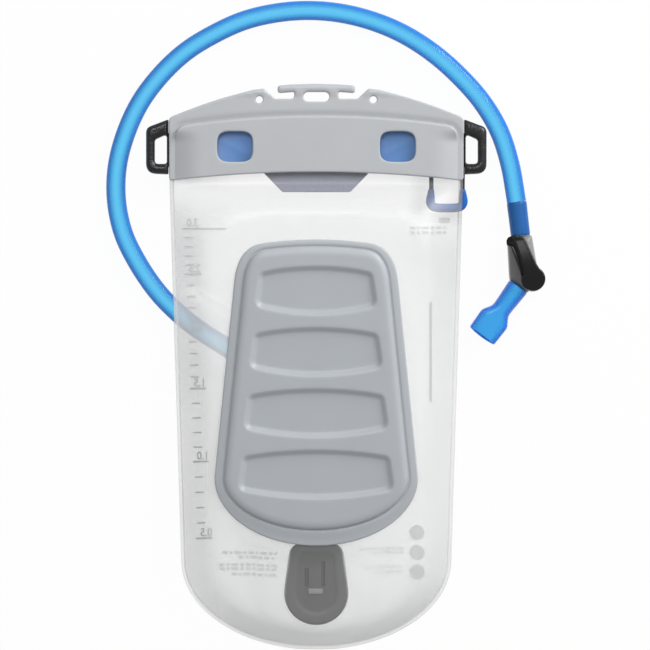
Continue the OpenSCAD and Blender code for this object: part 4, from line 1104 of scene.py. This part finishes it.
def teardrop(r, top_half, top_y, round_top):
    """An outline round at its foot and square at its top."""
    angles = np.radians(np.linspace(-90.0, 5.0, 28))
    foot = ellipse(angles, r, r, y_mid=PORT_Y)
    top = corner(foot[-1], (top_half, top_y), (-top_half, top_y), round_top, 8)
    return mirrored([*foot, *top])


class BLADDER_OT_port(bpy.types.Operator):
    """Makes the teardrop base of the port, inside the bag."""

    bl_idname = "bladder.port"
    bl_label = "Port base"

    def execute(self, context):
        tints = context.scene.bladder_colours
        well = teardrop(15.2, 13.2, PORT_Y + 29.5, 8.0)
        slots = [oblong(-7.6, PORT_Y + 4.0, -4.8, PORT_Y + 16.0),
                 oblong(3.2, PORT_Y + 4.0, 5.8, PORT_Y + 20.5)]

        def top(plan, depth):
            z = 16.9 - 0.9 * smoothstep(depth_in(plan, well) / 3.4) - edge_drop(depth, 1.2)
            for groove in slots:
                z = z - smoothstep(depth_in(plan, groove) / 0.5)
            return z

        def bottom(plan, depth):
            return np.full(len(plan), 14.4)

        # Painted shade darkens the slots and the well against the rim, and painted light makes the top paler
        # than the foot
        painted_lifts = [(2, 0.0151, 0.0158, 1.65), (2, 0.0161, 0.0168, 1.22), (1, -0.14, -0.114, 1.42)]
        finish = moulded("port_dark_grey", shade(tints.port, 0.61), 0.5, scale=1600.0, painted_lifts=painted_lifts)
        creases = [(well, (0.0, 0.8, 1.8, 2.8, 3.6)), *((groove, (0.0, 0.25, 0.55)) for groove in slots)]
        base = relief([teardrop(20.9, 17.2, PORT_Y + 33.0, 12.0)], top, bottom, 1.0, creases=creases)
        new_piece("port_teardrop", *base, finish, "bag", "port", ["port_base"], 50.0)
        shape = [(-4.9, PORT_Y - 0.8), (3.9, PORT_Y - 0.8), (4.4, PORT_Y + 2.8), (-5.4, PORT_Y + 2.8)]
        bar = relief([rounded(shape, [0.8] * 4)], *slab(15.6, 17.0, 0.5), 0.9, (0.15, 0.4))
        pale = moulded("port_bar_grey", (0.3, 0.3, 0.3), 0.5, scale=1600.0)
        new_piece("port_bar", *bar, pale, "bag", "port")
        return {"FINISHED"}


# Forms of the valve, in millimetres on its own lines: the sleeve's places and radii, the points and radii of
# the lever's dark rim that paints the gap's shadow, and the bite valve's places, half widths and half
# thicknesses
SLEEVE_PROFILE = ((0.0, 6.2), (0.3, 6.42), (1.2, 6.5), (3.0, 6.5), (9.0, 6.42), (16.0, 6.36), (20.8, 6.36),
                  (21.6, 6.25), (22.0, 5.9))
SHADOW_RIM_POINTS = ((-10.2, -27.4), (-10.0, -24.2), (-8.6, -22.2), (-6.2, -21.8), (-3.8, -25.0), (-2.4, -30.8),
              (-1.3, -36.5), (-0.6, -41.0), (-1.2, -48.0), (-3.2, -48.6), (-3.7, -39.0), (-4.8, -33.3),
              (-6.2, -28.4))
SHADOW_RIM_RADII = (1.2, 1.6, 1.6, 2.0, 2.0, 2.0, 2.0, 2.0, 1.2, 1.2, 2.0, 2.0, 2.2)
BITE_SECTIONS = (
    (0.2, 7.0, 7.0), (0.7, 7.2, 7.2), (2.0, 7.15, 7.1), (8.0, 6.8, 6.8), (14.0, 6.45, 6.5),
    (18.0, 6.35, 6.4), (19.6, 6.6, 6.35), (21.5, 7.5, 6.35), (23.6, 8.9, 6.4), (25.4, 9.9, 6.4),
    (26.8, 10.3, 6.4), (28.5, 10.35, 6.35), (33.0, 10.2, 6.2), (38.6, 10.0, 6.0), (39.5, 9.85, 5.8),
    (39.9, 9.5, 5.4), (40.0, 8.8, 4.7), (39.9, 7.6, 3.2), (39.4, 6.4, 1.6), (38.6, 5.6, 0.5),
)


def round_pivot(radius, start, end, count):
    """Points on an arc round the lever's pivot, between two angles in degrees."""
    sweep = np.radians(np.linspace(start, end, count))
    return [np.array(PIVOT) + radius * np.array((math.cos(a), math.sin(a))) for a in sweep]


def lever_face(height, fall):
    """Upper face of a piece of the lever, lower towards its tip."""
    def top(plan, depth):
        return height - fall * unit((plan[:, 1] - PIVOT[1]) / 26.0) ** 2 - edge_drop(depth, 0.9)
    return top


class BLADDER_OT_valve(bpy.types.Operator):
    """Makes the sleeve, the shut-off valve's housing and lever, and the bite valve."""

    bl_idname = "bladder.valve"
    bl_label = "Shut-off and bite valve"

    def execute(self, context):
        tints = context.scene.bladder_colours
        verts, faces = turned(SLEEVE_PROFILE, 48)
        down = np.column_stack([verts[:, 1], -verts[:, 0], verts[:, 2]])
        sleeve = soft_blue("sleeve_blue", (0.01, 0.115, 0.4), 0.34, clear=0.22, tint=(0.5, 0.8, 0.95),
                           Specular_IOR_Level=0.3)
        new_piece("hose_sleeve", on_valve(down), faces, sleeve, "bag", "cuff", ["hose_cuff"], 50.0)

        boss = round_pivot(8.2, 48.0, -112.0, 24)
        right, left = (-0.2, -59.6), (-10.6, -49.8)
        shape = rounded([(-9.0, -22.2), (7.2, -22.2), (8.2, -42.0), *boss, right, left, (-10.5, -46.5)],
                        [2.0, 2.0, 4.0, *[0.0] * len(boss), 1.2, 1.6, 3.0])
        verts, faces = relief([shape], *slab(-7.1, 7.1, 4.6), 1.2, (0.15, 0.5, 1.0, 1.7, 2.5, 3.5))
        # Painted light doubles the housing's colour towards its right side
        grey = moulded("smoke_grey_valve", (0.17, 0.17, 0.17), 0.26, 0.00012, 420.0, 0.3,
                       [(0, 0.131, 0.138, 2.0)], Transmission_Weight=0.25, Coat_Weight=0.3)
        new_piece("valve_housing", on_valve(verts), faces, grey, "bag", "valve", ["valve_body"], 50.0)

        disc = round_pivot(7.9, 52.0, -205.0, 40)
        arm = rounded([(-9.2, -23.8), (-6.6, -21.2), (2.0, -23.8), (7.6, -41.5), *disc],
                      [2.2, 2.2, 3.0, 5.0, *[0.0] * len(disc)])
        under = slab(7.4, 11.4, 0.4)[1]
        verts, faces = relief([arm], lever_face(11.4, 2.8), under, 1.0)
        black = moulded("satin_black", shade(tints.black, 0.45), 0.2, 0.00002, cloud=0.12,
                        Specular_IOR_Level=0.36)
        new_piece("shutoff_lever", on_valve(verts), faces, black, "lever", "lever", ["valve_lever"], 50.0)
        # A raised rim along the lever's left side, whose deeper black paints the shadow in the gap beside
        # the lever
        rim = rounded(SHADOW_RIM_POINTS, SHADOW_RIM_RADII)
        verts, faces = relief([rim], lever_face(11.9, 2.5), under, 0.7, (0.15, 0.45, 0.9))
        shadow_black = moulded("painted_shadow_black", shade(tints.black, 0.35), 0.5, 0.00002, 900.0, 0.1,
                      Specular_IOR_Level=0.12)
        new_piece("lever_shadow_rim", on_valve(verts), faces, shadow_black, "lever", "lever")

        rings = []
        for s, wide, thick in BITE_SECTIONS:
            power = 2.0 / (2.0 + 0.9 * float(smoothstep((s - 16.0) / 10.0)))
            across, upward = squarish(round_angles(56), power)
            bulge = 0.9 * (1.0 - (across * wide / 10.4) ** 2) * float(smoothstep((s - 30.0) / 9.0))
            rings.append(np.column_stack([s + bulge, wide * across, thick * upward]))
        verts, faces = lofted(rings)
        verts = swung(verts, OUTLET_ANGLE) + np.array((*OUTLET, 0.0))
        silicone = soft_blue("bite_blue_silicone", (0.008, 0.14, 0.8), 0.2, clear=0.68,
                             tint=(0.32, 0.83, 1.0), Coat_Weight=0.4, Coat_Roughness=0.12,
                             Subsurface_Weight=0.1, Subsurface_Radius=(0.002, 0.004, 0.008))
        new_piece("bite_mouthpiece", on_valve(verts), faces, silicone, "bag", "bite", ["bite_valve"], 60.0)
        return {"FINISHED"}


class BLADDER_OT_hose(bpy.types.Operator):
    """Lays the drinking hose along its route, from the plug to the sleeve."""

    bl_idname = "bladder.hose"
    bl_label = "Drinking hose"

    def execute(self, context):
        tints = context.scene.bladder_colours
        path = smooth_path(HOSE_ROUTE, 6)
        blue = soft_blue("hose_clear_blue", tints.hose, 0.12, cloud=0.06, clear=0.9, Specular_IOR_Level=0.25)
        hose = tube_piece("drinking_hose", path, HOSE_R, blue, "bag", "hose", ["hose"])
        on_it = [bpy.data.objects[name] for name in
                 ("hose_sleeve", "valve_housing", "shutoff_lever", "lever_shadow_rim", "bite_mouthpiece")]
        on_it += [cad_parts[name] for name in ("valve_spool", "spool_o_rings")]
        return {"FINISHED"}


# Marks on the inner face of the front film, in millimetres: the numbered levels, the rows of plain
# dashes, the discs, the stripe and the scale's bars. The numbers' size and boldness are in metres
LEVELS = ((89.8, "3.0"), (60.3, "2.5"), (23.9, "2.0"), (-14.3, "1.5"), (-61.9, "1.0"), (-111.9, "0.5"))
NOTE_ROWS = (
    (28.4, 57.0, -118.8), (37.5, 57.0, -121.4), (31.7, 57.0, -130.5), (38.8, 57.0, -134.0),
    (-61.3, -25.5, -121.7), (-50.9, -25.5, -124.6), (-63.2, -25.5, -129.5), (-63.2, -25.5, -132.1),
    (-55.4, -25.5, -135.7), (61.0, 86.0, 90.4), (61.0, 86.0, 87.2),
)
DASHES = (3.4, 1.8, 4.6, 2.4)
DASH_GAP = 1.2
DISC_X = 65.7
DISC_ROWS = (-108.4, -121.4, -134.0)
DISC_R = 4.9
STRIPE_X = (73.7, 75.5)
STRIPE_Y = (-22.9, 42.1)
SCALE_INSET = 7.6
SCALE_LEAN = 2.4
LEVEL_BAR = 10.2
TOP_BAR = 28.0
INK_LIFT = 0.9
NUMBER_SIZE = 0.0074
NUMBER_BOLD = 0.00018
NUMBER_SQUEEZE = 0.86


def bar_faces(x0, x1, y, height, pieces=8):
    """A thin printed bar as a strip of squares."""
    n = pieces + 1
    xs = np.linspace(x0, x1, n)
    plan = [(x, y - height / 2.0) for x in xs] + [(x, y + height / 2.0) for x in xs]
    return np.array(plan), [(k, k + 1, k + 1 + n, k + n) for k in range(pieces)]


def dashes(x0, x1, y):
    """A row of short bars, long and short by turns."""
    row, start, k = [], x0, 0
    while start < x1 - 1.0:
        end = min(x1, start + DASHES[k % len(DASHES)])
        row.append(bar_faces(start, end, y, 1.9, 2))
        start, k = end + DASH_GAP, k + 1
    return row


def scale_x(y):
    """Outer end of the volume scale's bars, which lean inwards towards the foot."""
    lean = SCALE_LEAN * (LEVELS[0][0] - y) / (LEVELS[0][0] - LEVELS[-1][0])
    return -(float(half_width(y)) - SCALE_INSET - lean)


def number_faces(number, right, foot):
    """A printed number's flat faces, reversed, from its right end and its foot."""
    curve = bpy.data.curves.new("number", "FONT")
    curve.body = number
    curve.size = NUMBER_SIZE
    curve.resolution_u = 3
    curve.offset = NUMBER_BOLD
    holder = bpy.data.objects.new("number", curve)
    mesh = holder.to_mesh()
    flat = np.array([tuple(v.co)[:2] for v in mesh.vertices]) * TO_MM
    plan = np.column_stack([right - flat[:, 0] * NUMBER_SQUEEZE, foot + flat[:, 1]])
    faces = [tuple(reversed(face.vertices)) for face in mesh.polygons]
    holder.to_mesh_clear()
    bpy.data.objects.remove(holder)
    bpy.data.curves.remove(curve)
    return plan, faces


class BLADDER_OT_print(bpy.types.Operator):
    """Prints the volume scale and plain marks on the front film, reversed as seen from the plate's side."""

    bl_idname = "bladder.print"
    bl_label = "Volume scale"

    def execute(self, context):
        wave = context.scene.bladder_sizes.film_ripple * TO_MM
        marks = []
        for (low, _), (high, _) in zip(LEVELS, LEVELS[1:]):
            for k in range(1, 5):
                y = low + (high - low) * k / 5.0
                marks.append(bar_faces(scale_x(y) + 0.8, scale_x(y) + 6.2, y, 0.9))
        for y, number in LEVELS:
            bar = TOP_BAR if y == LEVELS[0][0] else LEVEL_BAR
            marks.append(bar_faces(scale_x(y), scale_x(y) + bar, y, 1.2))
            marks.append(number_faces(number, scale_x(y) + LEVEL_BAR, y + 1.4))
        marks.extend((ellipse(round_angles(40), DISC_R, DISC_R, DISC_X, y), [tuple(range(40))])
                     for y in DISC_ROWS)
        plan = np.array([(x, y) for x in STRIPE_X for y in np.linspace(*STRIPE_Y, 40)])
        marks.append((plan, [(k, k + 40, k + 41, k + 1) for k in range(39)]))
        notes = [bar for row in NOTE_ROWS for bar in dashes(*row)]
        notes.append(bar_faces(79.7, 86.9, 95.2, 3.6))
        for name, group, grey in (("volume_print", marks, 0.58), ("note_print", notes, 0.78)):
            plan, faces = joined(*group)
            ink = Paint(name + "_ink", Roughness=0.6, Specular_IOR_Level=0.2)
            ink.mottle(ink.noise(220.0, 3.0), (grey, grey, grey * 1.01), 0.9, 1.1)
            z = front_surface(plan[:, 0], plan[:, 1], wave) + INK_LIFT
            new_piece(name, np.column_stack([plan, z]), faces, ink.material, "bag", "film")
        return {"FINISHED"}


class BLADDER_OT_works(bpy.types.Operator):
    """Gives the zip, the port's works and the valve's works their finishes, and lays the zip's soft flap."""

    bl_idname = "bladder.works"
    bl_label = "Zip and inner works"

    def execute(self, context):
        tints = context.scene.bladder_colours
        steel = drawn_wire("spring_wire")
        tape = moulded("zip_tape_blue", shade(tints.zip, 0.9), 0.4, scale=900.0, cloud=0.34,
                       Specular_IOR_Level=0.4)

        def soft(plan, depth):
            """The flap's upper face, with two faint folds."""
            x, y = plan[:, 0], plan[:, 1] - Y_ZIP
            fold = 0.22 * np.exp(-((y - 0.5 * (np.abs(x) - 55.0)) / 2.2) ** 2)
            return 15.55 + fold + 0.08 * np.sin(x * 0.21 + y * 0.33) - edge_drop(depth, 0.2)

        edge = oblong(-87.0, Y_ZIP - 12.6, 87.0, Y_ZIP + 12.2)
        flap = relief([edge], soft, slab(15.25, 15.6, 0.1)[1], 1.5, (0.3,))
        new_piece("zip_flap", *flap, tape, "bag", "zip")
        rail = moulded("zip_rail_blue", shade(tints.zip, 0.85), 0.26, 0.00002)
        grey = moulded("port_outer_grey", (0.16, 0.17, 0.18), 0.42, 0.00004)
        white = moulded("acetal_white", (0.72, 0.72, 0.70), 0.38, 0.00002, cloud=0.03)
        finishes = (
            (tape, ("zip_tape_upper", "zip_tape_lower")),
            (rail, ("zip_rail_upper", "zip_rail_lower")),
            (moulded("slider_grey", (0.18, 0.19, 0.21), 0.36), ("slider", "zip_end_stops")),
            (moulded("latch_blue", tints.hose, 0.3, cloud=0.06), ("latch_plate",)),
            (grey, ("port_socket", "port_cap", "hose_plug")),
            (white, ("poppet", "valve_spool")),
            (rubber("seal_black", (0.02, 0.02, 0.02)), ("poppet_seal", "plug_o_rings", "spool_o_rings")),
        )
        for finish, nodes in finishes:
            for node in nodes:
                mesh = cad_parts[node].data
                mesh.materials.clear()
                mesh.materials.append(finish)

        # The springs are coiled between the port and the piece that they push
        low, high = (np.array(p) * TO_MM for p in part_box("latch_springs"))
        side, y = high[0] - 1.1, (low[1] + high[1]) / 2.0
        verts, faces = coil(low[2], high[2], 0.85, 0.25, 4)
        pair = joined(*((verts + np.array((x, y, 0.0)), faces) for x in (-side, side)))
        springs = new_piece("latch_coils", *pair, steel, None, "port", ["latch_springs"])
        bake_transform(springs)
        low, high = (np.array(p) * TO_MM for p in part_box("poppet_spring"))
        z = (low[2] + high[2]) / 2.0
        verts, faces = coil(low[1], high[1], 2.4, 0.4, 5)
        verts = np.column_stack([verts[:, 1], verts[:, 2], verts[:, 0] + z])
        spring = new_piece("poppet_coil", verts, faces, steel, None, "port", ["poppet_spring"])
        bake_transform(spring)
        return {"FINISHED"}


# The stage, in metres: each lamp's name, place, power and size, the camera with its sensor in millimetres,
# the light of the surroundings and the floor
LAMPS = (
    ("key_lamp", (1.15, 0.95, 1.0), 16.5, 1.1),
    ("top_lamp", (-0.15, 0.75, 1.35), 5.4, 0.6),
    ("rim_lamp", (1.1, 1.25, 0.42), 9.0, 0.5),
)
CAMERA_PLACE = (0.00566, 0.02717)
SENSOR = 36.0
WORLD_LIGHT = 0.45
WHITE = (1.0, 1.0, 1.0, 1.0)
FLOOR_HALF = 6.0
FLOOR_DROP = 0.0002
FLOOR_GLOW = 0.96


class BLADDER_OT_stage(bpy.types.Operator):
    """Sets the camera over the part, the soft lamps and the white floor."""

    bl_idname = "bladder.stage"
    bl_label = "Camera, light and floor"

    def execute(self, context):
        scene, sizes = context.scene, context.scene.bladder_sizes
        scene.view_settings.view_transform = "Standard"
        data = bpy.data.cameras.new("camera")
        data.sensor_width = SENSOR
        data.lens = SENSOR * (sizes.camera_height - SEAM * MM) / sizes.frame_width
        data.clip_end = 20.0
        camera = bpy.data.objects.new("camera", data)
        camera.location = (*CAMERA_PLACE, sizes.camera_height)
        scene.collection.objects.link(camera)
        scene.camera = camera

        for name, place, power, size in LAMPS:
            lamp = bpy.data.lights.new(name, "AREA")
            lamp.energy = power
            lamp.size = size
            holder = bpy.data.objects.new(name, lamp)
            holder.location = place
            holder.rotation_euler = (-Vector(place)).to_track_quat("-Z", "Y").to_euler()
            scene.collection.objects.link(holder)

        world = bpy.data.worlds.new("studio")
        scene.world = world
        world.use_nodes = True
        sky = world.node_tree.nodes["Background"]
        sky.inputs["Color"].default_value = WHITE
        sky.inputs["Strength"].default_value = WORLD_LIGHT

        mesh = bpy.data.meshes.new("floor")
        square = oblong(-FLOOR_HALF, -FLOOR_HALF, FLOOR_HALF, FLOOR_HALF)
        mesh.from_pydata([(x, y, 0.0) for x, y in square], [], [(0, 1, 2, 3)])
        floor = bpy.data.objects.new("floor", mesh)
        floor.location.z = -FLOOR_DROP
        scene.collection.objects.link(floor)
        paint = Paint("white_floor", Roughness=0.9, Base_Color=(0.86, 0.86, 0.86, 1.0),
                      Specular_IOR_Level=0.0)
        seen = paint.add("ShaderNodeLightPath", out="Is Camera Ray")
        for ray in ("Is Glossy Ray", "Is Transmission Ray"):
            seen = seen + paint.add("ShaderNodeLightPath", out=ray)
        share = paint.add("ShaderNodeMath", {"operation": "MINIMUM"}, {0: seen * FLOOR_GLOW, 1: FLOOR_GLOW})
        paint.over(share, paint.add("ShaderNodeEmission", {}, {"Color": WHITE, "Strength": 1.0}))
        mesh.materials.append(paint.material)
        return {"FINISHED"}


PIECE_OPERATORS = (BLADDER_OT_stage, BLADDER_OT_valve, BLADDER_OT_hose, BLADDER_OT_films, BLADDER_OT_plate,
                   BLADDER_OT_cover, BLADDER_OT_loops, BLADDER_OT_pull, BLADDER_OT_port, BLADDER_OT_print,
                   BLADDER_OT_works)


class BLADDER_PT_panel(bpy.types.Panel):
    """Lists the sizes, the colours and the pieces."""

    bl_idname = "BLADDER_PT_panel"
    bl_label = "Hydration bladder"
    bl_space_type = "VIEW_3D"
    bl_region_type = "UI"
    bl_category = "Bladder"

    def draw(self, context):
        layout = self.layout
        for group in (context.scene.bladder_sizes, context.scene.bladder_colours):
            box = layout.box()
            for name in group.__annotations__:
                box.prop(group, name)
        for operator in PIECE_OPERATORS:
            layout.operator(operator.bl_idname)


CLASSES = (BladderSizes, BladderColours, *PIECE_OPERATORS, BLADDER_PT_panel)


def register():
    for item in CLASSES:
        bpy.utils.register_class(item)
    bpy.types.Scene.bladder_sizes = PointerProperty(type=BladderSizes)
    bpy.types.Scene.bladder_colours = PointerProperty(type=BladderColours)


def unregister():
    del bpy.types.Scene.bladder_colours
    del bpy.types.Scene.bladder_sizes
    for item in reversed(CLASSES):
        bpy.utils.unregister_class(item)


def main():
    register()
    bpy.ops.bladder.stage()
    bpy.ops.bladder.valve()
    bpy.ops.bladder.hose()
    bpy.ops.bladder.films()
    bpy.ops.bladder.plate()
    bpy.ops.bladder.cover()
    bpy.ops.bladder.loops()
    bpy.ops.bladder.pull()
    bpy.ops.bladder.port()
    bpy.ops.bladder.print()
    bpy.ops.bladder.works()


if __name__ == "__main__":
    main()
